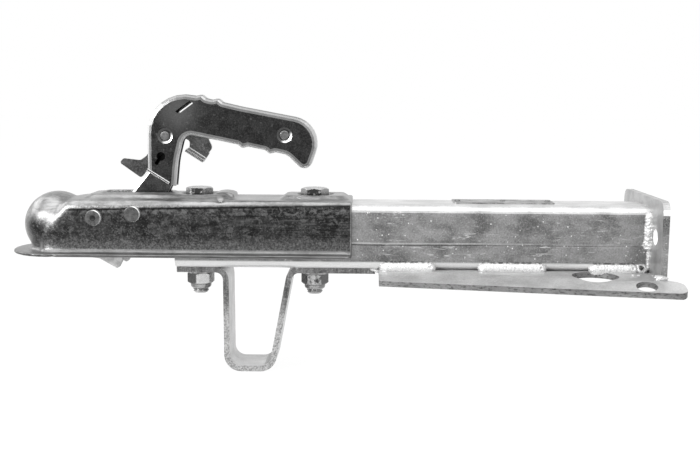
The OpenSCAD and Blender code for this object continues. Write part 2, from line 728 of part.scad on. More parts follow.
// Folded sheet of the handle without its rivet holes
module handle_shell() {
    outer_half = grip_half + hem_out;
    difference() {
        union() {
            difference() {
                rounded_form(grip_corners, grip_half, grip_edge_r, 0, 3, 7);
                rounded_form(grip_corners, grip_half - grip_t, grip_edge_r - grip_t, grip_t, 1, 7);
                plate(-grip_slit / 2, grip_slit / 2) slit_band();
            }
            hem();
            // Inner face of the dimples round the rivets
            for (at = [rivet_front, rivet_rear]) both_sides()
                translate([at[0], grip_half - grip_t, at[1]]) rotate([90, 0, 0])
                    cylinder(d1 = rivet_head_d + 5, d2 = rivet_head_d + 3, h = dimple_h);
        }
        for (at = [rivet_front, rivet_rear]) both_sides()
            translate([at[0], grip_half + 0.01, at[1]]) rotate([90, 0, 0])
                cylinder(d1 = dimple_rim_d, d2 = dimple_floor_d, h = dimple_h + 0.01);
        plate(-outer_half - cut, outer_half + cut) polygon(grip_foot);
        plate(-outer_half - cut, 0) keyhole();
        plate(-outer_half - cut, 0) marker_slot();
        plate(-lever_half, lever_half) polygon(outline(lever_corners, -0.2));
        nose_slot();
    }
}

module handle() {
    outer_half = grip_half + hem_out;
    color("silver") difference() {
        resize([0, 2 * outer_half, 0]) handle_shell();
        for (at = [rivet_front, rivet_rear]) cross_bar(at, rivet_d, -outer_half - cut, outer_half + cut);
    }
}

// Rivet across the handle with a low domed head sunk in each dimple
module cross_rivet(at) {
    face = grip_half - dimple_h;
    cross_bar(at, rivet_d, -face, face);
    both_sides() {
        cross_bar(at, rivet_head_d, face, face + rivet_head_h - 0.5);
        translate([at[0], face + rivet_head_h, at[1]]) rotate([90, 0, 0])
            cylinder(d1 = rivet_head_d - 1.4, d2 = rivet_head_d, h = 0.5);
    }
}

module handle_rivet() {
    color("gainsboro") cross_rivet(rivet_rear);
}

module trigger_rivet() {
    color("gainsboro") cross_rivet(rivet_front);
}

dimple_inner = grip_half - grip_t - dimple_h;
module handle_sleeve() {
    color("darkgray") difference() {
        cross_bar(rivet_rear, rivet_d + 2 * sleeve_t, -dimple_inner, dimple_inner);
        cross_bar(rivet_rear, rivet_d + 2 * run_gap, -grip_half, grip_half);
    }
}

module trigger_sleeve() {
    color("darkgray") both_sides() difference() {
        cross_bar(rivet_front, rivet_d + 2, trigger_t / 2 + 0.2, dimple_inner);
        cross_bar(rivet_front, rivet_d + 2 * run_gap, 0, grip_half);
    }
}

trigger_wire = 1;
module trigger_spring() {
    free = dimple_inner - trigger_t / 2 - 2 * trigger_wire;
    mean_r = rivet_d / 2 + 1 + trigger_wire;
    color("darkgray") translate([rivet_front[0], 0, rivet_front[1]])
        torsion_coil(mean_r, trigger_wire, 2.25, trigger_t / 2 + trigger_wire, free, 5);
}

// Trigger plate seen from the side: nose, back, tongue
trigger_corners = [[54.8, 53.4, 1.8], [73.2, 40.4, 2], [86.5, 56.5, 6], [100, 67.5, 6], [111, 75, 3],
    [115.9, 72.4, 3], [115.6, 66, 2], [128.6, 58.4, 2], [135.4, 66.6, 4], [130.6, 77, 4], [127, 88, 5],
    [104, 89, 6], [90.5, 86, 7], [86.4, 72, 8], [78.2, 59.4, 4], [72.9, 55.6, 4], [58.2, 57.2, 2.6]];
finger_from = [113.2, 63.9];
finger_to = [127.9, 54.6];
finger_tilt = atan2(finger_from[1] - finger_to[1], finger_to[0] - finger_from[0]);
finger_len = norm(finger_to - finger_from);
module trigger() {
    half = trigger_t / 2;
    bend_r = 4.5;
    rise = 9;
    pad_corners = [[half - finger_pad_w, 0, 0.6], [half, 0, bend_r], [half, rise, tiny_r],
        [-half, rise, tiny_r], [-half, finger_pad_t, bend_r - finger_pad_t],
        [half - finger_pad_w, finger_pad_t, 0.6]];
    color("silver") difference() {
        union() {
            plate(-half, half) polygon(outline(trigger_corners, 0, 5));
            translate([finger_from[0], 0, finger_from[1]]) rotate([0, finger_tilt, 0])
                rotate([90, 0, 90]) linear_extrude(finger_len) polygon(outline(pad_corners, 0, 5));
        }
        cross_bar(rivet_front, rivet_d + 2 * run_gap, -trigger_t, trigger_t);
        // Grooves along the finger edge
        translate([finger_from[0], 0, finger_from[1]]) rotate([0, finger_tilt, 0])
            for (k = [1:groove_count])
                translate([k * finger_len / (groove_count + 1), half - finger_pad_w - 0.3, -cut])
                    rotate([0, 0, 45]) translate([-0.5, -0.5, 0]) cube([1, 1, finger_pad_t + 2 * cut]);
    }
}

module head_bolts() {
    tip = nut_bottom - bolt_tip;
    chamfer = 1.2;
    color("gainsboro") for (x = bolt_xs) translate([x, 0, 0]) {
        translate([0, 0, head_top]) rotate([0, 0, x == bolt_front_x ? 12 : 0]) hex_body(bolt_head_h, false);
        translate([0, 0, tip + chamfer]) cylinder(d = bolt_d, h = head_top - tip - chamfer);
        translate([0, 0, tip]) cylinder(d1 = bolt_d - 2 * chamfer, d2 = bolt_d, h = chamfer);
    }
}

module washers() {
    color("silver") for (x = bolt_xs) translate([x, 0, nut_top]) difference() {
        cylinder(d = washer_d, h = washer_t);
        translate([0, 0, -cut]) cylinder(d = bolt_hole_d - 1, h = washer_t + 2 * cut);
    }
}

// Lock nut: a hexagon above a turned collar
module lock_nuts() {
    collar = 4.4;
    collar_low_d = bolt_af - 4.4;
    collar_high_d = bolt_af - 1.6;
    color("silver") for (x = bolt_xs) translate([x, 0, 0])
        rotate([0, 0, x == bolt_front_x ? 22 : 8]) difference() {
        union() {
            translate([0, 0, nut_bottom + collar]) hex_body(nut_h - collar, true);
            translate([0, 0, nut_bottom]) cylinder(d1 = collar_low_d, d2 = collar_high_d, h = collar + 0.4);
        }
        translate([0, 0, nut_bottom - cut]) cylinder(d = bolt_d + 2 * run_gap, h = nut_h + 2 * cut);
    }
}

// Path of the flat bar's middle line: flange, front leg, bottom, leaning rear leg, flange
foot_level = tube_bottom - foot_t / 2;
foot_low = tube_bottom - foot_h + foot_t / 2;
leg_front_x = bolt_front_x + 24;
leg_low_front_x = leg_front_x + 0.5;
leg_low_rear_x = bolt_front_x + 63;
leg_rear_x = bolt_rear_x - 20.5;
leg_front_r = 9;
leg_rear_r = 9;
leg_low_r = 12;
foot_path = [[tube_front, foot_level, 1], [leg_front_x, foot_level, leg_front_r],
    [leg_low_front_x, foot_low, leg_low_r], [leg_low_rear_x, foot_low, leg_low_r],
    [leg_rear_x, foot_level, leg_rear_r], [bolt_rear_x + foot_tail, foot_level, 1]];
module support_foot() {
    color("lightgray") difference() {
        plate(-foot_w / 2, foot_w / 2) polygon(bent_bar(foot_path, foot_t, 7));
        for (x = bolt_xs) translate([x, 0, foot_under - cut])
            cylinder(d = bolt_hole_d, h = foot_t + 2 * cut);
    }
}

// Square with rounded corners in the YZ plane, half width h
module square_section(h, r) {
    polygon(outline([[-h, -h, r], [h, -h, r], [h, h, r], [-h, h, r]], 0, 7));
}

// Solid outline of the drawbar tube, which the welds are shaped to
module tube_form() {
    translate([tube_front, 0, tube_mid]) rotate([90, 0, 90])
        linear_extrude(tube_rear - tube_front) square_section(tube_half, tube_corner_r);
}

module drawbar_tube() {
    hollow_half = tube_half - tube_wall;
    hollow_r = tube_corner_r - tube_wall;
    color("lightgray") difference() {
        tube_form();
        translate([tube_front - cut, 0, tube_mid]) rotate([90, 0, 90])
            linear_extrude(tube_rear - tube_front + 2 * cut) square_section(hollow_half, hollow_r);
        for (x = bolt_xs) translate([x, 0, tube_bottom - cut])
            cylinder(d = bolt_hole_d, h = tube_w + 2 * cut);
    }
}

module end_form() {
    low = tube_bottom;
    high = tube_top + end_rise;
    translate([tube_rear, 0, 0]) rotate([90, 0, 90]) linear_extrude(end_t)
        polygon(outline([[-end_half, low, 1], [end_half, low, 1], [end_half, high, end_corner_r],
            [-end_half, high, end_corner_r]]));
}

module end_plate() {
    color("lightgray") difference() {
        end_form();
        for (s = [-1, 1]) translate([tube_rear - cut, s * end_hole_pitch / 2, tube_mid + end_hole_rise])
            rotate([0, 90, 0]) cylinder(d = end_hole_d, h = end_t + 2 * cut);
    }
}

// Direction of one crease of the base plate, seen from above
crease_angle = atan2(crease_rear - crease_front, base_rear - base_front);
base_top = tube_bottom;
// Place and tilt of the left crease line: X along it, Y out over the wing, Z out of the plate
module on_crease() {
    translate([base_front, crease_front, base_top]) rotate([0, 0, crease_angle]) rotate([-wing_tilt, 0, 0])
        children();
}

// Left half of the base plate as a bent strip, before its ends are cut
module base_half_strip() {
    past = 30;
    run = norm([base_rear - base_front, crease_rear - crease_front]);
    bend = [[-90, -base_t / 2, 1], [0, -base_t / 2, 7],
        [wing_w * cos(wing_tilt), -base_t / 2 - wing_w * sin(wing_tilt), 1]];
    translate([base_front, crease_front, base_top]) rotate([0, 0, crease_angle]) translate([-past, 0, 0])
        rotate([90, 0, 90]) linear_extrude(run + 2 * past) polygon(bent_bar(bend, base_t, 4));
}

// Plan that the strips are cut to: flush with the end plate, with wings that reach past it
base_corner_r = 7;
module base_plan() {
    rear = tube_rear + end_t;
    reach = crease_rear + wing_w * cos(wing_tilt) / cos(crease_angle);
    front_reach = crease_front + wing_w * cos(wing_tilt) / cos(crease_angle) + 1;
    translate([0, 0, base_top - 2 * wing_w]) linear_extrude(3 * wing_w)
        polygon(outline([[base_front, 0, tiny_r], [rear, 0, tiny_r], [rear, end_half + 3, 3],
            [base_rear, crease_rear + 4, 5], [base_rear, reach, base_corner_r],
            [base_front, front_reach, 3]], 0, 5));
}

base_hole_x = tube_rear - base_hole_ahead;
wing_hole_x = tube_rear - wing_hole_ahead;
wing_hole_run = (wing_hole_x - base_front) / cos(crease_angle);
module base_plate() {
    color("lightgray") both_sides() difference() {
        intersection() {
            base_half_strip();
            base_plan();
        }
        translate([base_hole_x, base_hole_out, base_top - base_t - cut])
            cylinder(d = base_hole_d, h = base_t + 2 * cut);
        on_crease() translate([wing_hole_run, wing_w / 2, -base_t - cut])
            cylinder(d = wing_hole_d, h = base_t + 2 * cut);
    }
}

// Weld bead along X with round ends, at the tube's lower corner
module bead_along(x0, x1) {
    at = [tube_half - 1.2, tube_bottom + 2.4];
    translate([x0 + weld_r, at[0], at[1]]) rotate([0, 90, 0])
        cylinder(r = weld_r, h = x1 - x0 - 2 * weld_r);
    for (x = [x0 + weld_r, x1 - weld_r]) translate([x, at[0], at[1]]) sphere(r = weld_r);
}

// Starts and ends of the beads, measured from the base plate's front edge and from the end plate
bead_ends = [[base_front + 1, base_front + 48], [base_front + 84, base_front + 141],
    [tube_rear - 50, tube_rear - 9]];
module base_welds() {
    color("whitesmoke") difference() {
        both_sides() for (ends = bead_ends) bead_along(ends[0], ends[1]);
        tube_form();
        translate([base_front - 20, -100, base_top - 20]) cube([base_rear - base_front + 40, 200, 20]);
    }
}

module end_welds() {
    seam_r = 5.2;
    color("whitesmoke") difference() {
        both_sides() {
            translate([tube_rear, tube_half, tube_bottom + 1]) cylinder(r = seam_r, h = tube_w - 1 - seam_r);
            translate([tube_rear, tube_half, tube_top - seam_r]) sphere(r = seam_r);
            translate([tube_rear, end_half - 12, tube_bottom]) rotate([-90, 0, 0])
                cylinder(r = seam_r - 1, h = 11);
        }
        tube_form();
        end_form();
        translate([tube_rear + end_t - 0.01, -100, tube_bottom - 20]) cube([20, 200, tube_w + 40]);
        translate([tube_rear - 30, -100, tube_bottom - 20]) cube([60, 200, 20]);
    }
}

rating_mid_y = 4;
rating_rivet_d = 3.4;
rating_holes = [rating_front + 4, rating_front + rating_len / 2, rating_front + rating_len - 4];
module rating_plate() {
    h = rating_w / 2;
    color("lightgray") difference() {
        translate([0, rating_mid_y, tube_top]) linear_extrude(rating_t)
            polygon(outline([[rating_front, -h, 2], [rating_front + rating_len, -h, 2],
                [rating_front + rating_len, h, 2], [rating_front, h, 2]], 0, 4));
        for (x = rating_holes) translate([x, rating_mid_y, tube_top - cut])
            cylinder(d = rating_rivet_d, h = rating_t + 2 * cut);
    }
}

module rating_rivets() {
    color("gray") for (x = rating_holes) translate([x, rating_mid_y, tube_top]) {
        cylinder(d = rating_rivet_d, h = rating_t);
        translate([0, 0, rating_t]) cylinder(d1 = rating_rivet_d + 2.4, d2 = rating_rivet_d, h = 1.1);
    }
}

coupling_head();
jaw_pin();
lever_pin();
jaw_spacers();
lever_spacers();
jaw_spring();
lever_spring_left();
lever_spring_right();
ball_jaw();
lever();
handle();
handle_rivet();
handle_sleeve();
trigger_rivet();
trigger_sleeve();
trigger_spring();
trigger();
head_bolts();
washers();
lock_nuts();
support_foot();
drawbar_tube();
end_plate();
base_plate();
base_welds();
end_welds();
rating_plate();
rating_rivets();
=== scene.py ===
"""Looks of the ball coupling head: finishes, welds, threads, studio and camera. Metres throughout."""

import math
import random

import bmesh
import bpy
from mathutils import Matrix, Vector, noise


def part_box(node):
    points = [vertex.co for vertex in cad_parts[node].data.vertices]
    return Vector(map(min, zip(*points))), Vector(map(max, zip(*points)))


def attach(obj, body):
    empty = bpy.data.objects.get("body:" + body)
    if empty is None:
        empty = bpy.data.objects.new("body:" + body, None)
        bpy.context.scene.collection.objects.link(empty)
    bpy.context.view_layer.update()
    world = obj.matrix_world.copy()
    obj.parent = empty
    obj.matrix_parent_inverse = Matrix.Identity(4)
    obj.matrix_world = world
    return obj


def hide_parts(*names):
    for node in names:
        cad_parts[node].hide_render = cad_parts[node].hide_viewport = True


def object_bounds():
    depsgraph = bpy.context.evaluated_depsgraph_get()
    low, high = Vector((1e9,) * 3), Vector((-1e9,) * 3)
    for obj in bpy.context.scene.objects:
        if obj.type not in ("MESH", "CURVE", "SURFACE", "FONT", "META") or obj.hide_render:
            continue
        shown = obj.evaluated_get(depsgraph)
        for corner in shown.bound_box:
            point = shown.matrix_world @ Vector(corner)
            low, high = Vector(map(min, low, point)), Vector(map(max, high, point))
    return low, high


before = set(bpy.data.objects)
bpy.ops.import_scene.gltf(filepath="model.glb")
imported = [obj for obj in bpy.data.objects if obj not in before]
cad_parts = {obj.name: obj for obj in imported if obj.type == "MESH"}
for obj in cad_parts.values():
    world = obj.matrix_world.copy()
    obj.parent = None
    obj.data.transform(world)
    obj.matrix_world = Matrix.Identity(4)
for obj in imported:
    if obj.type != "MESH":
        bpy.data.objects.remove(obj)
CAD_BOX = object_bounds()

MM = 0.001

# Corners of the pieces, read from the frame
TUBE_LOW, TUBE_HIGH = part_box("drawbar_tube")
END_LOW, END_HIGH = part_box("end_plate")
BASE_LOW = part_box("base_plate")[0]
NUT_LOW, NUT_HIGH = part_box("lock_nuts")
BOLT_LOW, BOLT_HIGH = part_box("head_bolts")
RIVET_PLACES = [((low[0] + high[0]) / 2, (low[2] + high[2]) / 2)
                for low, high in (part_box("trigger_rivet"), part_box("handle_rivet"))]
JAW_PIN_LOW, JAW_PIN_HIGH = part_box("jaw_pin")

# Places in the handle's near side, as x and z, and the slope of the marker slot
KEYHOLE = (0.0922, 0.0594)
MARKER = (0.1121, 0.1015)
MARKER_TILT = math.radians(36)
BEND_SHEEN = (0.108, 0.098)

# The two holes in the end plate, as distance from the middle and height
END_HOLE_OUT, END_HOLE_UP = 42 * MM, -2 * MM

# Bolts and nuts, as in the part
HALF_PITCH = 50 * MM
HALF_FLAT = 10.5 * MM
BOLT_HEAD = 8.8 * MM
THREAD_RADIUS = 6.95 * MM
THREAD_PITCH, THREAD_DEPTH = 2 * MM, 1.1 * MM
NUT_BORE = 7.05 * MM
COLLAR_HEIGHT = 4.4 * MM
HEX_CHAMFER = 1.2 * MM


# Studio


def new_material(name):
    material = bpy.data.materials.new(name)
    material.use_nodes = True
    return material


def add_floor():
    """Pale floor under the foot that shows as white, with the object's shadow faint on it."""
    bpy.ops.mesh.primitive_plane_add(size=14, location=(0.25, 1.5, CAD_BOX[0][2] - 0.0004))
    floor = bpy.context.object
    floor.name = "floor"
    material = new_material("floor_white")
    tree = material.node_tree
    tree.nodes.clear()
    out = tree.nodes.new("ShaderNodeOutputMaterial")
    matt = tree.nodes.new("ShaderNodeBsdfDiffuse")
    matt.inputs["Color"].default_value = (0.86, 0.86, 0.86, 1)
    glow = tree.nodes.new("ShaderNodeEmission")
    glow.inputs["Color"].default_value = (1, 1, 1, 1)
    glow.inputs["Strength"].default_value = 1.03
    seen = seen_directly(tree)
    share = tree.nodes.new("ShaderNodeMath")
    share.operation = "MULTIPLY"
    share.inputs[1].default_value = 0.93
    tree.links.new(seen, share.inputs[0])
    mix = tree.nodes.new("ShaderNodeMixShader")
    tree.links.new(share.outputs[0], mix.inputs[0])
    tree.links.new(matt.outputs[0], mix.inputs[1])
    tree.links.new(glow.outputs[0], mix.inputs[2])
    tree.links.new(mix.outputs[0], out.inputs[0])
    floor.data.materials.append(material)


def seen_directly(tree):
    """1 for camera, glossy and transmission rays, 0 for the light that reaches the object."""
    path = tree.nodes.new("ShaderNodeLightPath")
    total = path.outputs["Is Camera Ray"]
    for name in ("Is Glossy Ray", "Is Transmission Ray"):
        add = tree.nodes.new("ShaderNodeMath")
        add.operation = "MAXIMUM"
        tree.links.new(total, add.inputs[0])
        tree.links.new(path.outputs[name], add.inputs[1])
        total = add.outputs[0]
    return total


def set_world():
    """White behind the object; soft grey light all round it, brighter from above."""
    world = bpy.data.worlds.new("studio")
    bpy.context.scene.world = world
    world.use_nodes = True
    tree = world.node_tree
    tree.nodes.clear()
    out = tree.nodes.new("ShaderNodeOutputWorld")
    around = tree.nodes.new("ShaderNodeTexCoord")
    split = tree.nodes.new("ShaderNodeSeparateXYZ")
    tree.links.new(around.outputs["Generated"], split.inputs[0])
    height = tree.nodes.new("ShaderNodeMapRange")
    height.inputs["From Min"].default_value = -0.3
    height.inputs["From Max"].default_value = 0.9
    height.inputs["To Min"].default_value = 0.4
    height.inputs["To Max"].default_value = 0.8
    tree.links.new(split.outputs["Z"], height.inputs["Value"])
    soft = tree.nodes.new("ShaderNodeBackground")
    soft.inputs["Color"].default_value = (1, 1, 1, 1)
    tree.links.new(height.outputs[0], soft.inputs["Strength"])
    white = tree.nodes.new("ShaderNodeBackground")
    white.inputs["Color"].default_value = (1, 1, 1, 1)
    white.inputs["Strength"].default_value = 1.0
    mix = tree.nodes.new("ShaderNodeMixShader")
    tree.links.new(seen_directly(tree), mix.inputs[0])
    tree.links.new(soft.outputs[0], mix.inputs[1])
    tree.links.new(white.outputs[0], mix.inputs[2])
    tree.links.new(mix.outputs[0], out.inputs[0])


def add_softbox(name, place, target, width, height, power):
    light = bpy.data.lights.new(name, "AREA")
    light.shape = "RECTANGLE"
    light.size = width
    light.size_y = height
    light.energy = power
    lamp = bpy.data.objects.new(name, light)
    bpy.context.scene.collection.objects.link(lamp)
    lamp.location = place
    lamp.rotation_euler = (Vector(target) - Vector(place)).to_track_quat("-Z", "Y").to_euler()


def add_camera():
    """Long lens a little above and in front of the side of the object, rolled by a third of a degree."""
    focal_px, width_px = 983.0, 700.0
    yaw, pitch, roll = math.radians(-1.0), math.radians(8.0), math.radians(0.35)
    target = Vector((0.25407, 0.0, -0.00696))
    distance = 0.855
    forward = Vector((math.sin(yaw) * math.cos(pitch), math.cos(yaw) * math.cos(pitch), -math.sin(pitch)))
    data = bpy.data.cameras.new("camera")
    data.sensor_width = 36.0
    data.lens = focal_px * data.sensor_width / width_px
    data.clip_start = 0.05
    camera = bpy.data.objects.new("camera", data)
    bpy.context.scene.collection.objects.link(camera)
    camera.location = target - forward * distance
    camera.rotation_mode = "QUATERNION"
    level = forward.to_track_quat("-Z", "Y")
    camera.rotation_quaternion = level @ Matrix.Rotation(roll, 3, "Z").to_quaternion()
    bpy.context.scene.camera = camera


# Finishes


def grey(level):
    """Linear value of a display grey from 0 to 255."""
    v = level / 255
    return v / 12.92 if v <= 0.04045 else ((v + 0.055) / 1.055) ** 2.4


class Finish:
    """A procedural metal finish, built up layer by layer. Sizes are in millimetres."""

    def __init__(self, name, metallic):
        self.material = new_material(name)
        self.tree = self.material.node_tree
        self.shader = self.tree.nodes["Principled BSDF"]
        self.shader.inputs["Metallic"].default_value = metallic
        self.shader.inputs["Specular IOR Level"].default_value = 0.5
        coords = self.tree.nodes.new("ShaderNodeTexCoord")
        self.place = coords.outputs["Object"]
        self.normal = coords.outputs["Normal"]
        self.height = None

    def link(self, value, socket):
        if isinstance(value, bpy.types.NodeSocket):
            self.tree.links.new(value, socket)
        else:
            socket.default_value = value

    def math(self, operation, a, b=0.0):
        made = self.tree.nodes.new("ShaderNodeMath")
        made.operation = operation
        for value, socket in zip((a, b), made.inputs):
            self.link(value, socket)
        return made.outputs[0]

    def step(self, value, low, high, to_low=0.0, to_high=1.0):
        """Smooth change from to_low to to_high as value goes from low to high."""
        made = self.tree.nodes.new("ShaderNodeMapRange")
        made.interpolation_type = "SMOOTHSTEP"
        for key, number in (("Value", value), ("From Min", low), ("From Max", high),
                            ("To Min", to_low), ("To Max", to_high)):
            self.link(number, made.inputs[key])
        return made.outputs[0]

    def mix(self, factor, a, b):
        made = self.tree.nodes.new("ShaderNodeMix")
        made.data_type = "FLOAT"
        for value, socket in zip((factor, a, b), (made.inputs[0], made.inputs[2], made.inputs[3])):
            self.link(value, socket)
        return made.outputs[0]

    def over(self, tone, upper, factor, amount):
        """An upper tone laid over another, as far as the factor and the amount let it show."""
        return self.mix(self.math("MULTIPLY", factor, amount), tone, upper)

    def axes(self, vector):
        made = self.tree.nodes.new("ShaderNodeSeparateXYZ")
        self.tree.links.new(vector, made.inputs[0])
        return made.outputs

    def stretched(self, stretch, turn=0.0):
        """Coordinates that make a pattern longer along an axis by its stretch."""
        made = self.tree.nodes.new("ShaderNodeMapping")
        made.inputs["Scale"].default_value = tuple(1 / s for s in stretch)
        made.inputs["Rotation"].default_value = (0, turn, 0)
        self.tree.links.new(self.place, made.inputs["Vector"])
        return made.outputs[0]

    def cloud(self, size, detail=4.0, rough=0.55, stretch=(1, 1, 1), distort=0.0, turn=0.0):
        made = self.tree.nodes.new("ShaderNodeTexNoise")
        self.tree.links.new(self.stretched(stretch, turn), made.inputs["Vector"])
        made.inputs["Scale"].default_value = 1 / (size * MM)
        made.inputs["Detail"].default_value = detail
        made.inputs["Roughness"].default_value = rough
        made.inputs["Distortion"].default_value = distort
        return made.outputs[0]

    def cells(self, size):
        """Distance to the nearest of points scattered about a size apart."""
        made = self.tree.nodes.new("ShaderNodeTexVoronoi")
        self.tree.links.new(self.place, made.inputs["Vector"])
        made.inputs["Scale"].default_value = 1 / (size * MM)
        return made.outputs["Distance"]

    def raise_by(self, value, weight):
        """Adds a relief layer."""
        layer = self.math("MULTIPLY", value, weight)
        self.height = layer if self.height is None else self.math("ADD", self.height, layer)

    def finish(self, tone, roughness, relief=0.1):
        self.link(tone, self.shader.inputs["Base Color"])
        self.link(roughness, self.shader.inputs["Roughness"])
        if self.height is not None:
            bump = self.tree.nodes.new("ShaderNodeBump")
            bump.inputs["Strength"].default_value = 1.0
            bump.inputs["Distance"].default_value = relief * MM
            self.tree.links.new(self.height, bump.inputs["Height"])
            self.tree.links.new(bump.outputs[0], self.shader.inputs["Normal"])
        return self.material


def sideways(f, low=0.86, high=0.985):
    """1 on the flat faces to the left and right of the part, 0 on its rounded edges and other faces."""
    y = f.axes(f.normal)[1]
    return f.step(f.math("ABSOLUTE", y), low, high)


def inner_faces(f):
    """1 on faces that look inward across the part, so the inside of folded sheet, 0 on its outside."""
    y, face = f.axes(f.place)[1], f.axes(f.normal)[1]
    return f.step(f.math("MULTIPLY", f.math("SIGN", y), face), -0.3, -0.5)


def near_axis(f, at, inner, outer, across=1):
    """1 within the inner distance of a line along an axis, 0 past the outer one. At is the line's place."""
    axes = f.axes(f.place)
    first, second = [axes[i] for i in range(3) if i != across]
    gaps = [f.math("SUBTRACT", value, centre) for value, centre in zip((first, second), at)]
    total = f.math("ADD", f.math("MULTIPLY", gaps[0], gaps[0]), f.math("MULTIPLY", gaps[1], gaps[1]))
    return f.step(f.math("SQRT", total), inner, outer, 1.0, 0.0)


def along_line(f, at, turn):
    """Distances along and across a slanted line through a place, seen from the side."""
    axes = f.axes(f.place)
    gap_x, gap_z = [f.math("SUBTRACT", axes[i], centre) for i, centre in zip((0, 2), at)]
    c, s = math.cos(turn), math.sin(turn)
    along = f.math("ADD", f.math("MULTIPLY", gap_x, c), f.math("MULTIPLY", gap_z, s))
    across = f.math("SUBTRACT", f.math("MULTIPLY", gap_z, c), f.math("MULTIPLY", gap_x, s))
    return along, across


def head_finish():
    """Passivated zinc on the pressed head: clouded, stained side walls with a dark tone that is painted
    shade, and bends and top with a bright tone that is painted highlight.
    """
    f = Finish("head_zinc", 0.8)
    x, _, z = f.axes(f.place)
    # Under the dome more of the curved faces take the side walls' dark tone, painted shade
    under_dome = f.math("MULTIPLY", f.step(z, 0.012, 0.002), f.step(x, 0.012, -0.006))
    side = f.mix(under_dome, sideways(f), sideways(f, 0.5, 0.82))
    cloud = f.cloud(13, 7, 0.68, (1.5, 1, 1))
    blotch = f.cloud(4.2, 6, 0.72, (1.3, 1, 1), distort=0.6)
    fine = f.cloud(1.5, 5, 0.75)
    streak = f.cloud(1.9, 5, 0.65, (20, 1, 1))
    vein = f.math("ABSOLUTE", f.math("SUBTRACT", f.cloud(6, 8, 0.74), 0.5))
    lines = f.step(vein, 0.0, 0.028, 1.0, 0.0)
    patch = f.step(f.cloud(26, 3, 0.5), 0.42, 0.62)

    # Side walls: a dark tone that is painted shade, with clouds, blotches, veins and pale flecks high up
    dark = f.mix(f.step(cloud, 0.34, 0.64), grey(24), grey(61))
    dark = f.over(dark, grey(92), f.step(blotch, 0.5, 0.62), 0.75)
    dark = f.over(dark, grey(16), f.step(blotch, 0.47, 0.36), 0.75)
    dark = f.over(dark, grey(14), lines, f.mix(patch, 0.35, 0.8))
    dark = f.over(dark, grey(122), f.step(fine, 0.53, 0.68), 0.5)
    dark = f.over(dark, grey(12), f.step(fine, 0.48, 0.34), 0.55)
    pale_flecks = f.math("MULTIPLY", f.step(z, 0.008, 0.0155), f.step(blotch, 0.44, 0.6))
    dark = f.over(dark, grey(128), pale_flecks, 0.35)

    # Under the bend a pale mottled strip ends in a dark line, both falling towards the front
    level = f.math("SUBTRACT", f.math("SUBTRACT", z, 0.015), f.math("MULTIPLY", x, 0.021))
    behind_dome = f.step(x, 0.004, 0.014)
    line = f.math("MULTIPLY", f.step(f.math("ABSOLUTE", level), 0.0003, 0.0012, 1.0, 0.0), behind_dome)
    dark = f.over(dark, grey(10), line, f.step(cloud, 0.3, 0.5, 0.4, 0.9))
    strip = f.math("MULTIPLY", f.step(level, 0.0006, 0.0024), behind_dome)
    dark = f.over(dark, f.mix(f.step(fine, 0.36, 0.62), grey(70), grey(168)), strip, 0.85)

    # Dark and pale streaks towards the rear
    streaks = f.math("MULTIPLY", f.step(streak, 0.54, 0.66), f.step(x, 0.09, 0.17))
    dark = f.over(dark, grey(16), streaks, 0.75)
    pale_streaks = f.math("MULTIPLY", f.step(streak, 0.44, 0.34), f.step(x, 0.11, 0.2))
    dark = f.over(dark, grey(104), pale_streaks, 0.35)

    # Paler down to the foot of the wall, with a darker edge on the rim
    low_band = f.step(z, -0.016, -0.004, 1.0, 0.0)
    dark = f.over(dark, f.mix(f.step(fine, 0.35, 0.65), grey(56), grey(122)), low_band, 0.62)
    foot_band = f.step(z, -0.0196, -0.0168, 1.0, 0.0)
    dark = f.mix(foot_band, dark, f.mix(fine, grey(96), grey(150)))
    rim = f.step(z, -0.0212, -0.0202, 1.0, 0.0)
    dark = f.mix(rim, dark, f.mix(f.step(streak, 0.4, 0.6), grey(52), grey(96)))

    # Bends, dome and top: a bright tone that is painted highlight, darker towards the rim
    bright = f.mix(f.step(cloud, 0.3, 0.7), grey(112), grey(166))
    bright = f.over(bright, grey(84), f.step(streak, 0.5, 0.7), 0.5)
    bright = f.over(bright, grey(70), f.step(blotch, 0.46, 0.3), 0.35)
    bright = f.over(bright, grey(206), f.step(fine, 0.58, 0.72), 0.4)
    bright = f.over(bright, grey(90), f.step(z, -0.01, -0.016), 0.5)

    f.raise_by(fine, 0.6)
    f.raise_by(cloud, 1.6)
    f.raise_by(blotch, 0.5)
    rough = f.mix(side, f.mix(cloud, 0.24, 0.37), f.mix(blotch, 0.28, 0.44))
    return f.finish(f.mix(side, bright, dark), rough, 0.12)


def plated_finish(name, dark_level, light_level, flat_levels, metallic=0.8, size=5.0):
    """Zinc plating on small parts. Flat faces to the side have tones of their own."""
    f = Finish(name, metallic)
    cloud = f.cloud(size, 5, 0.6)
    fine = f.cloud(size / 6, 3, 0.6)
    tone = f.mix(f.step(cloud, 0.32, 0.68), grey(dark_level), grey(light_level))
    flat = f.mix(f.step(cloud, 0.3, 0.7), grey(flat_levels[0]), grey(flat_levels[1]))
    tone = f.mix(sideways(f), tone, flat)
    tone = f.over(tone, grey(min(250, light_level + 30)), f.step(fine, 0.58, 0.74), 0.35)
    tone = f.over(tone, grey(dark_level * 0.6), f.step(fine, 0.44, 0.3), 0.4)
    f.raise_by(cloud, 0.8)
    f.raise_by(fine, 0.6)
    return f.finish(tone, f.mix(cloud, 0.26, 0.42), 0.05)


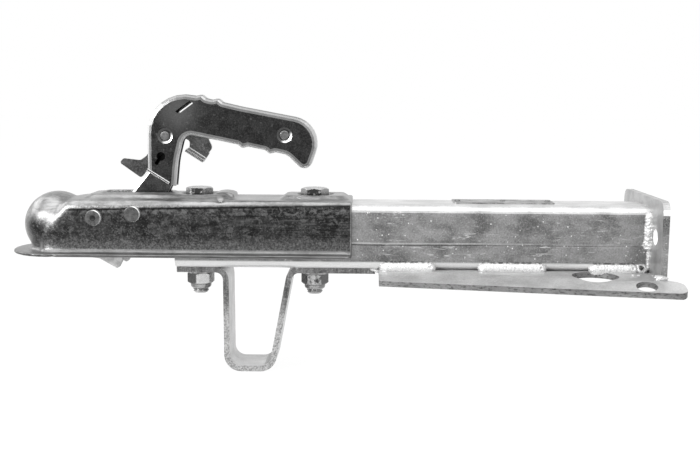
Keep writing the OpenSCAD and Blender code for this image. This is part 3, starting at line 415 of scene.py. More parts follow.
def pin_finish():
    """Pin heads: turned grey faces, rounded rims with a painted highlight where they face right, and a dark
    centre mark on the jaw pin.
    """
    f = Finish("pin_zinc", 0.8)
    cloud = f.cloud(4, 5, 0.6)
    fine = f.cloud(0.8, 3, 0.7)
    face = f.mix(f.step(cloud, 0.3, 0.7), grey(66), grey(100))
    face = f.over(face, grey(128), f.step(fine, 0.5, 0.68), 0.4)
    # Painted highlight: rims bright where they face right, darker where they face left
    rim = f.mix(f.step(f.axes(f.normal)[0], -0.3, 0.35), grey(112), f.mix(cloud, grey(206), grey(250)))
    tone = f.mix(sideways(f), rim, face)
    jaw_axis = ((JAW_PIN_LOW[0] + JAW_PIN_HIGH[0]) / 2, (JAW_PIN_LOW[2] + JAW_PIN_HIGH[2]) / 2)
    tone = f.mix(near_axis(f, jaw_axis, 0.0021, 0.0029), tone, grey(50))
    f.raise_by(cloud, 0.8)
    f.raise_by(fine, 0.5)
    return f.finish(tone, f.mix(cloud, 0.24, 0.38), 0.05)


def nut_finish(name, collar_from=None, dark=(56, 100), light=(172, 222)):
    """Plated hexagons with darker facets as painted shade and lighter ones as painted highlight: the darker
    are those to the side on bolts, those to the front on nuts.
    """
    f = Finish(name, 0.8)
    facing = f.axes(f.normal)
    x, _, z = f.axes(f.place)
    cloud = f.cloud(4, 5, 0.6)
    fine = f.cloud(0.9, 3, 0.7)
    # Painted light: a darker tone for facets on the shaded side, a lighter one for those on the lit side
    shaded_facets = f.mix(cloud, grey(dark[0]), grey(dark[1]))
    lit_facets = f.mix(cloud, grey(light[0]), grey(light[1]))
    square_on = f.step(f.math("ABSOLUTE", facing[1]), 0.7, 0.92)
    if collar_from is None:
        tone = f.mix(square_on, lit_facets, f.mix(f.step(cloud, 0.52, 0.64), shaded_facets, grey(light[1])))
    else:
        tone = f.mix(f.step(facing[0], -0.62, 0.1), shaded_facets, lit_facets)
        middle = (NUT_LOW[0] + NUT_HIGH[0]) / 2
        rear_nut = f.step(x, middle, middle + 1 * MM)
        patchy = f.mix(f.step(cloud, 0.38, 0.6), grey(66), grey(184))
        tone = f.mix(rear_nut, tone, f.mix(square_on, grey(96), patchy))
    level = f.step(f.math("ABSOLUTE", facing[2]), 0.25, 0.6)
    tone = f.mix(level, tone, f.mix(fine, grey(140), grey(216)))
    if collar_from is not None:
        collar = f.step(z, collar_from - 0.1 * MM, collar_from - 0.4 * MM)
        tone = f.over(tone, f.mix(fine, grey(70), grey(190)), collar, 0.6)
        # Painted shade: a dark line in the crease where the collar meets the hexagon
        edge = f.step(f.math("ABSOLUTE", f.math("SUBTRACT", z, collar_from)), 0.0, 0.0008, 1.0, 0.0)
        tone = f.over(tone, grey(40), edge, 0.8)
    tone = f.over(tone, grey(70), f.step(fine, 0.6, 0.7), 0.5)
    f.raise_by(cloud, 1.0)
    f.raise_by(fine, 0.5)
    return f.finish(tone, f.mix(cloud, 0.18, 0.34), 0.06)


def grip_finish(name, levels, bright=(186, 226), top_level=112, inside=110, shaded=False, painted_slot_light=False):
    """Satin plated sheet of the handle: dark faces with a painted sheen near the bend, painted highlights
    round the edges, set tones on upward and right-facing faces as painted light, and a painted highlight on
    one side of each dimple.

    Shaded pieces get painted shade round the keyhole; the piece with the marker slot gets painted shade in
    the keyhole's wall and a painted highlight on the slot's lip; the inside of the folded sheet gets a set
    tone, painted shade.
    """
    f = Finish(name, 0.82)
    side = sideways(f, 0.9, 0.995)
    edges = f.math("SUBTRACT", 1.0, side)
    facing = f.axes(f.normal)
    cloud = f.cloud(11, 5, 0.6)
    fine = f.cloud(1.1, 4, 0.65)
    dark = f.mix(f.step(cloud, 0.3, 0.7), grey(levels[0]), grey(levels[1]))
    dark = f.over(dark, grey(levels[1] + 30), f.step(fine, 0.46, 0.64), 0.4)
    dark = f.over(dark, grey(levels[0] * 0.5), f.step(fine, 0.46, 0.32), 0.4)
    dark = f.over(dark, grey(levels[1] + 44), f.step(f.cloud(3, 3), 0.6, 0.7), 0.5)
    dark = f.over(dark, grey(levels[1] + 62), near_axis(f, BEND_SHEEN, 0.004, 0.026), 0.42)
    # Painted highlight round the edges; upward faces take the top tone and faces to the right the first
    # bright tone, painted light
    light = f.mix(cloud, grey(bright[0]), grey(bright[1]))
    light = f.mix(f.step(facing[2], 0.25, 0.85), light, grey(top_level))
    light = f.mix(f.step(facing[0], 0.3, 0.8), light, grey(bright[0]))
    tone = f.mix(side, light, dark)
    if shaded:
        # Painted shade round the keyhole, on the parts seen through it
        tone = f.mix(near_axis(f, KEYHOLE, 0.009, 0.013), tone, grey(8))
    # Painted highlight on the side of each dimple that faces up and left
    for place in RIVET_PLACES:
        lit = f.step(f.math("SUBTRACT", facing[2], facing[0]), 0.12, 0.5)
        dimple = f.mix(lit, grey(levels[1] + 26), grey(246))
        tone = f.over(tone, dimple, near_axis(f, place, 0.0092, 0.0106), edges)
    if painted_slot_light:
        # Painted shade in the keyhole's wall, and a painted highlight along the marker slot's lip
        tone = f.over(tone, grey(12), near_axis(f, KEYHOLE, 0.0083, 0.0088), edges)
        along, across = along_line(f, MARKER, MARKER_TILT)
        width = f.math("MULTIPLY", f.step(across, -0.0026, -0.0021), f.step(across, -0.0012, -0.0014))
        length = f.math("MULTIPLY", f.step(along, -0.0062, -0.0042), f.step(along, 0.0086, 0.008))
        near_side = f.step(f.axes(f.place)[1], -0.002, -0.004)
        tone = f.over(tone, grey(236), f.math("MULTIPLY", width, length), near_side)
    # Painted shade: the inside of the folded sheet gets a set tone, nearly black on the lever
    tone = f.mix(inner_faces(f), tone, grey(inside))
    f.raise_by(fine, 0.6)
    f.raise_by(cloud, 0.8)
    return f.finish(tone, f.mix(cloud, 0.25, 0.36), 0.05)


def galvanised_finish(name, dark_level, light_level, edge_level=200, specks=1.0, streaks=0.0, seam=None,
                      pits=0.0, grainy=1.0, adjust=None):
    """Hot-dip zinc: soft mottles, pale specks and scratches. Rounded and upward faces are brighter, a painted
    highlight.
    """
    f = Finish(name, 0.72)
    x, _, z = f.axes(f.place)
    cloud = f.cloud(17, 6, 0.62, (1.5, 1, 1))
    blotch = f.cloud(5.5, 6, 0.7, (1.2, 1, 1))
    grain = f.cloud(1.3, 4, 0.7)
    tone = f.mix(f.step(cloud, 0.32, 0.66), grey(dark_level), grey(light_level))
    tone = f.over(tone, grey(light_level + 16), f.step(blotch, 0.5, 0.68), 0.4)
    tone = f.over(tone, grey(min(250, light_level + 44)), f.step(grain, 0.52, 0.66), 0.6 * grainy)
    tone = f.over(tone, grey(dark_level * 0.55), f.step(grain, 0.48, 0.34), 0.6 * grainy)
    if streaks:
        wipe = f.cloud(1.4, 4, 0.7, (1, 1, 16))
        tone = f.over(tone, grey(dark_level * 0.5), f.step(wipe, 0.5, 0.66), streaks)
        tone = f.over(tone, grey(light_level + 40), f.step(wipe, 0.44, 0.3), streaks)
    swirl = f.cloud(3.2, 4, 0.6, (6, 1, 1), distort=1.2, turn=0.75)
    scuffed = f.step(f.cloud(34, 2), 0.47, 0.6)
    scratch = f.math("MULTIPLY", f.step(swirl, 0.6, 0.66), f.mix(scuffed, 0.12, 0.8))
    tone = f.over(tone, grey(226), scratch, 0.55)
    dots = f.step(f.cells(4.6), 0.07, 0.15, 1.0, 0.0)
    speck = f.math("MULTIPLY", dots, f.step(f.cloud(13, 3), 0.47, 0.58))
    tone = f.over(tone, grey(244), speck, specks)
    if seam is not None:
        # A dark groove that wanders a little and fades here and there, with a pale lip above it
        wander = f.math("MULTIPLY", f.math("SUBTRACT", f.cloud(60, 2), 0.5), 0.0016)
        level = f.math("SUBTRACT", f.math("SUBTRACT", z, seam), wander)
        fade = f.mix(f.step(f.cloud(22, 3, 0.6, (3, 1, 1)), 0.38, 0.6), 0.25, 1.0)
        fade = f.math("MULTIPLY", fade, f.step(x, 0.35, 0.43, 1.0, 0.3))
        groove = f.step(f.math("ABSOLUTE", level), 0.0, 0.0009, 1.0, 0.0)
        tone = f.over(tone, grey(dark_level * 0.55), f.math("MULTIPLY", groove, fade), 0.8)
        lip = f.step(f.math("ABSOLUTE", f.math("SUBTRACT", level, 0.0016)), 0.0, 0.0011, 1.0, 0.0)
        tone = f.over(tone, grey(196), f.math("MULTIPLY", lip, fade), 0.5)
        f.raise_by(groove, -1.4)
    if pits:
        pit = f.step(f.cloud(1.7, 5, 0.75, (2.2, 1, 1)), 0.5, 0.62)
        cut_face = f.step(f.math("ABSOLUTE", f.axes(f.normal)[2]), 0.5, 0.2)
        tone = f.over(tone, f.mix(cloud, grey(72), grey(122)), cut_face, 0.85)
        tone = f.over(tone, grey(50), f.math("MULTIPLY", cut_face, pit), pits)
        f.raise_by(f.math("MULTIPLY", pit, cut_face), -1.5)
        f.raise_by(cloud, 1.5)
        f.raise_by(grain, 0.7)
        return f.finish(tone, f.mix(cloud, 0.3, 0.48), 0.16)
    # Painted highlight: faces other than the flat sides get a brighter tone
    round_tone = f.mix(f.step(cloud, 0.3, 0.7), grey(edge_level - 16), grey(min(250, edge_level + 16)))
    round_tone = f.over(round_tone, grey(120), f.step(grain, 0.5, 0.28), 0.35)
    if adjust:
        tone, round_tone = adjust(f, tone, round_tone, (cloud, grain))
    tone = f.mix(sideways(f, 0.9, 0.997), round_tone, tone)
    f.raise_by(cloud, 1.8)
    f.raise_by(blotch, 0.8)
    f.raise_by(grain, 0.6)
    f.raise_by(speck, 1.2)
    return f.finish(tone, f.mix(cloud, 0.28, 0.46), 0.12)


def foot_tones(f, tone, round_tone, noises):
    """The foot is paler towards its bottom, and its rounded faces that look forward are darker, painted
    shade.
    """
    z = f.axes(f.place)[2]
    cloud, grain = noises
    # Painted shade on the rounded faces that look forward
    forward = f.step(f.axes(f.normal)[0], -0.2, -0.6)
    round_tone = f.mix(forward, round_tone, f.mix(grain, grey(104), grey(148)))
    pale = f.step(f.math("ADD", z, f.math("MULTIPLY", cloud, 0.02)), -0.05, -0.075)
    tone = f.over(tone, f.mix(f.step(grain, 0.35, 0.6), grey(128), grey(206)), pale, 0.72)
    return tone, round_tone


def tube_tones(f, tone, round_tone, noises):
    """Darker round the last weld, and a painted highlight on the bend along the tube's lower edge."""
    z = f.axes(f.place)[2]
    grain = noises[1]
    near_last_weld = near_axis(f, (TUBE_HIGH[0] - 7 * MM, TUBE_LOW[2] + 7 * MM), 0.002, 0.017)
    tone = f.over(tone, f.mix(grain, grey(60), grey(130)), near_last_weld, 0.55)
    # Painted highlight: a pale tone on the lower bend
    low_bend = f.step(z, TUBE_LOW[2] + 7.6 * MM, TUBE_LOW[2] + 5.6 * MM)
    pale = f.mix(grain, grey(200), grey(232))
    return f.mix(low_bend, tone, pale), f.mix(low_bend, round_tone, pale)


def end_tones(f, tone, round_tone, noises):
    """Dark pitted stretch on the end plate's edges under top corners painted near white as a painted
    highlight, and pale hole walls.
    """
    z = f.axes(f.place)[2]
    grain = noises[1]
    top = END_HIGH[2]
    wander = f.math("ADD", z, f.math("MULTIPLY", f.math("SUBTRACT", grain, 0.5), 0.012))
    stretch = f.math("MULTIPLY", f.step(wander, top - 12 * MM, top - 14 * MM),
                     f.step(wander, top - 34 * MM, top - 20 * MM))
    tone = f.over(tone, f.mix(f.step(grain, 0.4, 0.55), grey(34), grey(110)), stretch, 0.8)
    # Painted highlight: the top of the end plate near white
    tone = f.mix(f.step(z, top - 11.5 * MM, top - 10.5 * MM), tone, grey(246))
    for side in (-1, 1):
        wall = near_axis(f, (side * END_HOLE_OUT, END_HOLE_UP), 6.56 * MM, 6.62 * MM, 0)
        tone, round_tone = [f.mix(wall, t, grey(250)) for t in (tone, round_tone)]
    return tone, round_tone


def weld_finish():
    """Galvanised weld metal: grainy and pale, dark in its pits, with painted shade along its toe and round
    the rear corner.
    """
    f = Finish("weld_zinc", 0.5)
    x, y, z = f.axes(f.place)
    grain = f.cloud(1.1, 4, 0.7)
    patch = f.cloud(4, 5, 0.7)
    low, half = TUBE_LOW[2], TUBE_HIGH[1]
    tone = f.mix(f.step(grain, 0.3, 0.56), grey(158), grey(218))
    tone = f.over(tone, grey(120), f.step(patch, 0.58, 0.68), 0.5)
    # Painted shade along the toe, where the flat beads meet the tube
    from_toe = f.math("ABSOLUTE", f.math("SUBTRACT", z, low + 7.2 * MM))
    toe_crease = f.step(from_toe, 0.3 * MM, 0.9 * MM, 1.0, 0.0)
    toe_shade = f.math("MULTIPLY", toe_crease, f.step(x, 0.499, 0.497))
    tone = f.over(tone, grey(60), toe_shade, f.step(patch, 0.4, 0.55))
    pit = f.step(f.cloud(1.0, 4, 0.7), 0.56, 0.64)
    upright = f.math("MULTIPLY", f.step(z, low + 8 * MM, low + 14 * MM), f.step(x, 0.49, 0.5))
    tone = f.over(tone, grey(70), f.math("MULTIPLY", pit, upright), 0.75)
    # Painted shade on the bead in the rear corner
    corner = f.math("MULTIPLY", f.step(x, 0.4962, 0.4985), f.step(z, low + 16 * MM, low + 9 * MM))
    close_in = f.step(f.math("ABSOLUTE", y), half + 14 * MM, half + 9 * MM)
    corner = f.math("MULTIPLY", corner, close_in)
    tone = f.over(tone, f.mix(grain, grey(90), grey(180)), corner, 0.7)
    f.raise_by(grain, 0.6)
    f.raise_by(f.cloud(0.5, 2), 0.3)
    return f.finish(tone, 0.36, 0.2)


def rating_finish():
    """The bare rating plate: dull and uneven."""
    f = Finish("plate_alu", 0.6)
    patch = f.cloud(6, 5, 0.7, (2, 1, 1))
    grain = f.cloud(1.2, 3)
    tone = f.mix(f.step(patch, 0.35, 0.6), grey(102), grey(168))
    tone = f.over(tone, grey(84), f.step(grain, 0.55, 0.7), 0.5)
    f.raise_by(patch, 1)
    f.raise_by(grain, 1)
    return f.finish(tone, 0.45, 0.12)


def steel_finish(name, low, high, rough=0.38):
    """Plain steel with fine draw marks."""
    f = Finish(name, 0.85)
    marks = f.cloud(0.8, 4, 0.6, (1, 6, 1))
    cloud = f.cloud(6, 4)
    tone = f.mix(f.step(cloud, 0.3, 0.7), grey(low), grey(high))
    tone = f.over(tone, grey(low * 0.7), f.step(marks, 0.45, 0.7), 0.4)
    f.raise_by(marks, 1)
    return f.finish(tone, f.mix(marks, rough - 0.08, rough + 0.1), 0.04)


def dress_node(node, material):
    """Gives a CAD node its finish and smooth shading across gentle edges."""
    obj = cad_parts[node]
    obj.data.materials.clear()
    obj.data.materials.append(material)
    obj.data.shade_smooth()
    obj.data.set_sharp_from_angle(angle=math.radians(32))


def dress_nodes():
    """Gives every CAD node its finish."""
    pins = pin_finish()
    steel = steel_finish("sleeve_steel", 70, 110)
    spring = steel_finish("spring_steel", 90, 150, 0.32)
    washer = plated_finish("washer_zinc", 120, 200, (110, 170), size=3)
    rivet = plated_finish("rivet_steel", 92, 132, (88, 120), size=2.5)
    weld = weld_finish()
    finishes = {
        "coupling_head": head_finish(),
        "jaw_pin": pins,
        "lever_pin": pins,
        "jaw_spacers": steel,
        "lever_spacers": steel,
        "jaw_spring": spring,
        "lever_spring_left": spring,
        "lever_spring_right": spring,
        "trigger_spring": spring,
        "handle_sleeve": steel,
        "trigger_sleeve": steel,
        "ball_jaw": plated_finish("jaw_steel", 70, 110, (158, 196), 0.85),
        "lever": grip_finish("lever_zinc", (36, 62), (200, 240), 200, 14, shaded=True),
        "handle": grip_finish("handle_zinc", (26, 48), (190, 236), painted_slot_light=True),
        "trigger": grip_finish("trigger_zinc", (50, 84), (130, 210), 190, shaded=True),
        "handle_rivet": rivet,
        "trigger_rivet": rivet,
        "head_bolts": nut_finish("bolt_zinc", None, (30, 74), (124, 172)),
        "washers": washer,
        "lock_nuts": nut_finish("nut_zinc", NUT_LOW[2] + COLLAR_HEIGHT),
        "support_foot": galvanised_finish("foot_zinc", 84, 124, 196, 0.2, 0.5, adjust=foot_tones),
        "drawbar_tube": galvanised_finish("tube_zinc", 92, 139, 204, 0.9, seam=-0.0128, grainy=0.6,
                                          adjust=tube_tones),
        "end_plate": galvanised_finish("end_zinc", 112, 152, 172, 0.4, grainy=0.6, adjust=end_tones),
        "base_plate": galvanised_finish("base_zinc", 180, 205, 190, 0.4, pits=0.9, grainy=0.3),
        "base_welds": weld,
        "end_welds": weld,
        "rating_plate": rating_finish(),
        "rating_rivets": rivet,
    }
    for node, material in finishes.items():
        dress_node(node, material)
    return finishes


# Pieces with more shape than the solids


def add_piece(name, grid, finish, body="drawbar", angle=40):
    """Turns built geometry into a piece that rides on a body."""
    mesh = bpy.data.meshes.new(name)
    bmesh.ops.recalc_face_normals(grid, faces=grid.faces)
    grid.to_mesh(mesh)
    grid.free()
    piece = bpy.data.objects.new(name, mesh)
    bpy.context.scene.collection.objects.link(piece)
    mesh.materials.append(finish)
    mesh.shade_smooth()
    mesh.set_sharp_from_angle(angle=math.radians(angle))
    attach(piece, body)
    return piece


def skin_rings(grid, rings):
    """Joins rings of points into a closed skin."""
    rows = [[grid.verts.new(point) for point in ring] for ring in rings]
    count = len(rows[0])
    for a, b in zip(rows, rows[1:]):
        for i in range(count):
            grid.faces.new((a[i], a[(i + 1) % count], b[(i + 1) % count], b[i]))
    grid.faces.new(rows[0][::-1])
    grid.faces.new(rows[-1])


def add_pressed_head(finish):
    """The same solid with every bend softened as in pressed sheet, most of all where dome meets channel."""
    voxel = 1.15 * MM
    # Where the dome runs into the channel, above the rim, and how far the softening reaches from there
    dome_rear, along_reach = -4 * MM, 30 * MM
    dome_side, side_reach = 11 * MM, 8 * MM
    rim_top, height_reach = -21.5 * MM, 5 * MM
    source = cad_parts["coupling_head"]
    work = bpy.data.objects.new("head_work", source.data.copy())
    bpy.context.scene.collection.objects.link(work)
    remesh = work.modifiers.new("remesh", "REMESH")
    remesh.mode = "VOXEL"
    remesh.voxel_size = voxel
    graph = bpy.context.evaluated_depsgraph_get()
    mesh = bpy.data.meshes.new_from_object(work.evaluated_get(graph))
    work.modifiers.clear()
    work.data = mesh
    soft = work.vertex_groups.new(name="junction")
    for vertex in mesh.vertices:
        x, y, z = vertex.co
        along = 1 - abs(x - dome_rear) / along_reach
        outward = (abs(y) - dome_side) / side_reach
        above = (z - rim_top) / height_reach
        weight = min(1, 2.5 * max(0, along)) * min(1, max(0, outward)) * min(1, max(0, above))
        if weight > 0:
            soft.add([vertex.index], weight, "REPLACE")
    light = work.modifiers.new("light", "SMOOTH")
    light.factor = 0.5
    light.iterations = 2
    blend = work.modifiers.new("blend", "SMOOTH")
    blend.factor = 0.7
    blend.iterations = 80
    blend.vertex_group = "junction"
    graph = bpy.context.evaluated_depsgraph_get()
    final = bpy.data.meshes.new_from_object(work.evaluated_get(graph))
    bpy.data.objects.remove(work)
    final.name = "pressed_head"
    head = bpy.data.objects.new("pressed_head", final)
    bpy.context.scene.collection.objects.link(head)
    final.materials.clear()
    final.materials.append(finish)
    final.shade_smooth()
    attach(head, "drawbar")
    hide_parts("coupling_head")


HEX_STEPS = 72


def hexagon_ring(centre_x, z, half_flat, turn, limit=None):
    """Hexagon outline as a ring of points, drawn in to a circle of the limit radius where that is smaller."""
    ring = []
    for k in range(HEX_STEPS):
        angle = 2 * math.pi * k / HEX_STEPS
        facet = (angle - turn + math.pi / 6) % (math.pi / 3) - math.pi / 6
        radius = half_flat / math.cos(facet)
        if limit is not None:
            radius = min(radius, limit)
        ring.append((centre_x + radius * math.cos(angle), radius * math.sin(angle), z))
    return ring


def round_ring(centre_x, z, radius):
    """Circle as a ring of as many points as the hexagon's."""
    return [(centre_x + radius * math.cos(2 * math.pi * k / HEX_STEPS),
             radius * math.sin(2 * math.pi * k / HEX_STEPS), z) for k in range(HEX_STEPS)]


def chamfered_rings(centre_x, turn, half_flat, z_face, z_deep):
    """Rings of a hexagon's chamfer, from the round face at z_face to where its corners are whole."""
    corner = half_flat / math.cos(math.pi / 6)
    face = half_flat * 0.955
    rings = [round_ring(centre_x, z_face, face * 0.98), round_ring(centre_x, z_face, face)]
    for k in range(1, 6):
        limit = face + (corner - face) * k / 5
        z = z_face + (z_deep - z_face) * k / 5
        rings.append(hexagon_ring(centre_x, z, half_flat, turn, limit))
    return rings


def thread_rings(centre_x, z_low, z_high, radius, pitch, depth):
    """Rings of a cut thread, from a chamfered tip upward."""
    tip_chamfer, steps_per_turn, crest = 1.6 * MM, 9, 0.38
    rings = []
    z = z_low
    while z < z_high:
        ring = []
        tip = max(0.0, tip_chamfer - (z - z_low))
        for k in range(HEX_STEPS):
            angle = 2 * math.pi * k / HEX_STEPS
            phase = ((z - z_low) / pitch - k / HEX_STEPS) % 1.0
            cut = depth * (1 - min(1.0, abs(phase - 0.5) / crest))
            r = min(radius - cut, radius - tip)
            ring.append((centre_x + r * math.cos(angle), r * math.sin(angle), z))
        rings.append(ring)
        z += pitch / steps_per_turn
    return rings


def add_bolts(finish):
    """Hexagon bolts with chamfered heads and cut threads."""
    grid = bmesh.new()
    middle = (BOLT_LOW[0] + BOLT_HIGH[0]) / 2
    top = BOLT_HIGH[2]
    seat = top - BOLT_HEAD
    collar, collar_top = HALF_FLAT * 0.94, seat + 0.5 * MM
    for side, turn in ((-1, math.radians(27)), (1, math.radians(30))):
        x = middle + side * HALF_PITCH
        shank = thread_rings(x, BOLT_LOW[2], NUT_HIGH[2] + 4 * MM, THREAD_RADIUS, THREAD_PITCH, THREAD_DEPTH)
        shank += [round_ring(x, seat - 0.2 * MM, THREAD_RADIUS), round_ring(x, seat, THREAD_RADIUS)]
        skin_rings(grid, shank)
        head = [round_ring(x, seat, collar), round_ring(x, collar_top, collar)]
        head += [hexagon_ring(x, z, HALF_FLAT, turn) for z in (collar_top, top - 1.7 * MM)]
        head += chamfered_rings(x, turn, HALF_FLAT, top, top - HEX_CHAMFER)[::-1]
        head += [round_ring(x, top, HALF_FLAT * 0.8), round_ring(x, top - 0.35 * MM, HALF_FLAT * 0.74)]
        skin_rings(grid, head)
    piece = add_piece("threaded_bolts", grid, finish, angle=24)
    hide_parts("head_bolts")


def add_lock_nuts(finish):
    """Lock nuts: a hexagon with both ends chamfered and a crimped collar over the insert."""
    grid = bmesh.new()
    middle = (NUT_LOW[0] + NUT_HIGH[0]) / 2
    top, shoulder = NUT_HIGH[2], NUT_LOW[2] + COLLAR_HEIGHT
    # The collar's outline as drop below the hexagon and radius, in millimetres
    collar = ((0.0, 9.4), (0.25, 9.2), (2.4, 9.0), (3.3, 8.7),
              (3.9, 8.2), (4.3, 7.7), (4.4, 7.3), (4.1, 7.05))
    for side, turn in ((-1, math.radians(48)), (1, math.radians(28))):
        x = middle + side * HALF_PITCH
        rings = [round_ring(x, top, NUT_BORE)]
        rings += chamfered_rings(x, turn, HALF_FLAT, top, top - HEX_CHAMFER)
        rings += chamfered_rings(x, turn, HALF_FLAT, shoulder, shoulder + HEX_CHAMFER)[::-1]
        rings += [round_ring(x, shoulder - drop * MM, radius * MM) for drop, radius in collar]
        rows = [[grid.verts.new(point) for point in ring] for ring in rings]
        rows.append(rows[0])
        for a, b in zip(rows, rows[1:]):
            for i in range(HEX_STEPS):
                grid.faces.new((a[i], a[(i + 1) % HEX_STEPS], b[(i + 1) % HEX_STEPS], b[i]))
    piece = add_piece("crimped_nuts", grid, finish, angle=24)
    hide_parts("lock_nuts")


def lumps(place, size, depth):
    """Uneven height at a place, for cast and splashed metal."""
    at = place / size
    return depth * (noise.noise(at) + 0.5 * noise.noise(at * 2.3 + Vector((7, 3, 1))))


def add_bead(grid, start, end, across, width, height, rough, holes=(), swell=None):
    """Weld bead from start to end, rippled and lumpy, rounded at its ends.

    Holes are (place, radius, depth), and the swell is (distance from the start, share, length).
    """
    ring_steps, row_step, ripple = 44, 0.45 * MM, 2.6 * MM
    start, end = Vector(start), Vector(end)
    along = (end - start).normalized()
    across = Vector(across).normalized()
    up = along.cross(across)
    length = (end - start).length
    blunt = 1.1 * max(width, height)
    steps = int(length / row_step)
    rings = []
    for k in range(steps + 1):
        s = length * k / steps
        near = min(s, length - s)
        scale = max(0.12, math.sqrt(max(0.0, 1 - (1 - min(1, near / blunt)) ** 2)))
        if swell:
            scale *= 1 + swell[1] * math.exp(-((s - swell[0]) / swell[2]) ** 2)
        ring = []
        for i in range(ring_steps):
            angle = 2 * math.pi * i / ring_steps
            out = across * (math.cos(angle) * width) + up * (math.sin(angle) * height)
            place = start + along * s + out * scale
            phase = 2 * math.pi * (s / ripple + 0.5 * math.sin(angle))
            wave = math.sin(phase + 3 * noise.noise(place / (6 * MM)))
            rise = lumps(place, 2.6 * MM, rough * MM) + lumps(place, 0.8 * MM, 0.3 * rough * MM)
            place += out.normalized() * (rise + 0.1 * MM * wave) * scale
            for middle, radius, depth in holes:
                gap = (place - Vector(middle)).length
                place -= out.normalized() * depth * math.exp(-((gap / radius) ** 2))
            ring.append(place)
        rings.append(ring)
    skin_rings(grid, rings)


def add_blob(grid, place, size, squash=(1, 1, 1), seed=0.0):
    """Small splash of metal with an uneven skin."""
    made = bmesh.ops.create_icosphere(grid, subdivisions=3 if size > 1.2 * MM else 2, radius=size)
    for vertex in made["verts"]:
        wander = 1 + 0.35 * noise.noise(vertex.co / size * 1.3 + Vector((seed, seed * 2, 0)))
        vertex.co = Vector([c * k * wander for c, k in zip(vertex.co, squash)]) + Vector(place)


def add_side_welds(grid, side):
    """The three beads along the tube's lower corner and the upright one at the end plate, on one side."""
    front, rear, low = BASE_LOW[0], TUBE_HIGH[0], TUBE_LOW[2]
    half = TUBE_HIGH[1]
    runs = ((front + 1 * MM, front + 48 * MM), (front + 84 * MM, front + 141 * MM),
            (rear - 50 * MM, rear - 9 * MM))
    y, z = side * (half - 1.0 * MM), low + 2.2 * MM
    for x0, x1 in runs:
        crater = (x1 - 4.5 * MM, side * (half + 4.4 * MM), z + 1.6 * MM)
        lean = (0, 0.94 * side, -0.34)
        add_bead(grid, (x0 - 0.5 * MM, y, z), (x1 + 0.5 * MM, y, z), lean, 5.7 * MM, 5.2 * MM, 0.17,
                 [(crater, 0.9 * MM, 1.9 * MM)])
    top, knee = TUBE_HIGH[2] - 3.5 * MM, low + 18 * MM
    x, y = rear - 0.4 * MM, side * (half - 0.4 * MM)
    holes = [((rear - 1 * MM, side * (half + 4.3 * MM), height * MM), 0.8 * MM, 1.4 * MM)
             for height in (8, 3.5, -4, -9)]
    add_bead(grid, (x, y, top), (x, y, knee), (1, 0, 0), 4.9 * MM, 4.7 * MM, 0.85, holes,
             swell=(31 * MM, 0.28, 5 * MM))
    x, y = rear - 0.2 * MM, side * half
    add_bead(grid, (x, y, knee + 1 * MM), (x, y, low + 1 * MM), (1, 0, 0), 2.6 * MM, 2.4 * MM, 0.45)


def add_drips(grid, side):
    """A ring of weld metal in the rear corner, and drips at the corners of the end plate and base plate."""
    front, rear, low = BASE_LOW[0], TUBE_HIGH[0], TUBE_LOW[2]
    half = TUBE_HIGH[1]
    ring_at = Vector((rear - 6.2 * MM, side * (half + 0.6 * MM), low + 3.4 * MM))
    ring_count = 26
    for k in range(ring_count):
        angle = 2 * math.pi * k / ring_count
        turn = Vector((math.cos(angle), side * 0.55 * math.sin(angle) * -1, 0.84 * math.sin(angle)))
        add_blob(grid, ring_at + turn * 3.3 * MM, 1.55 * MM, (1, 1.1, 1), 3.1 * k)
    # Place of each drip on the left and its size in millimetres
    drips = ((END_LOW[0] + 0.8 * MM, END_HIGH[1] + 0.1 * MM, END_LOW[2] + 1.2 * MM, 3.1),
             (END_LOW[0] - 0.8 * MM, END_HIGH[1] - 3.4 * MM, END_LOW[2] + 1.4 * MM, 2.3),
             (rear - 12 * MM, half + 15 * MM, low - 0.1 * MM, 1.1),
             (rear - 17 * MM, half + 14.4 * MM, low, 0.9),
             (front - 3.5 * MM, half - 9 * MM, low - 0.8 * MM, 2.6),
             (front - 6 * MM, half - 10 * MM, low - 0.2 * MM, 2.0),
             (front - 1 * MM, half - 8 * MM, low - 2.2 * MM, 2.2))
    for x, y1, z1, size in drips:
        add_blob(grid, (x, side * y1, z1), size * MM, (1.5, 1, 0.75), size * 5 + x * 100)


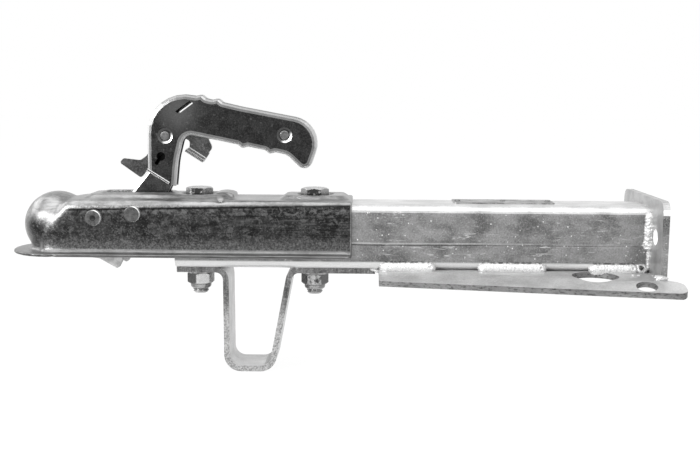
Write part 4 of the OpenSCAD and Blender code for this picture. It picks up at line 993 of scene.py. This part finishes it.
def add_spatter(grid, side):
    """Small splashes round the rear corner, on the tube and the base plate, and along the lower beads."""
    front, rear, low = BASE_LOW[0], TUBE_HIGH[0], TUBE_LOW[2]
    half = TUBE_HIGH[1]
    pick = random.Random(11 + side)
    for _ in range(40):
        x = rear - 22 * MM + pick.random() * 26 * MM
        if pick.random() < 0.5:
            spot = (min(x, rear - 2 * MM), side * (half + 0.05 * MM), low + (4 + 22 * pick.random()) * MM)
            flat = (1, 0.45, 1)
        else:
            spot = (min(x, rear - 1 * MM), side * (half + (4 + 12 * pick.random()) * MM), low + 0.05 * MM)
            flat = (1, 1, 0.45)
        add_blob(grid, spot, (0.2 + 0.4 * pick.random() ** 3) * MM, flat, pick.random() * 50)
    for _ in range(30):
        x = front + (4 + 140 * pick.random()) * MM
        spot = (x, side * (half + (5.5 + 9 * pick.random() ** 2) * MM), low + 0.03 * MM)
        add_blob(grid, spot, (0.2 + 0.3 * pick.random() ** 2) * MM, (1, 1, 0.4), pick.random() * 50)


def add_welds(finish):
    """Weld beads along the tube's lower corners and up the end plate, with craters, drips and spatter."""
    grid = bmesh.new()
    for side in (-1, 1):
        add_side_welds(grid, side)
        add_drips(grid, side)
        add_spatter(grid, side)
    piece = add_piece("weld_beads", grid, finish, angle=60)
    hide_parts("base_welds", "end_welds")


def add_lights():
    """A large softbox overhead, a strong one left in front, and weak ones left behind and right in front."""
    add_softbox("softbox_top", (0.15, -0.35, 1.3), (0.25, 0, 0), 2.3, 1.3, 13)
    add_softbox("softbox_left", (-0.98, -0.93, 0.58), (0, 0, 0), 0.75, 0.55, 24)
    add_softbox("softbox_corner", (-1.1, 0.42, 0.7), (0, 0, 0), 0.8, 0.5, 3)
    add_softbox("softbox_front", (0.9, -1.5, 0.7), (0.25, 0, -0.02), 0.9, 0.9, 3)


bpy.context.scene.view_settings.view_transform = "Standard"
add_camera()
set_world()
add_floor()
add_lights()
FINISHES = dress_nodes()
add_pressed_head(FINISHES["coupling_head"])
add_bolts(FINISHES["head_bolts"])
add_lock_nuts(FINISHES["lock_nuts"])
add_welds(FINISHES["base_welds"])
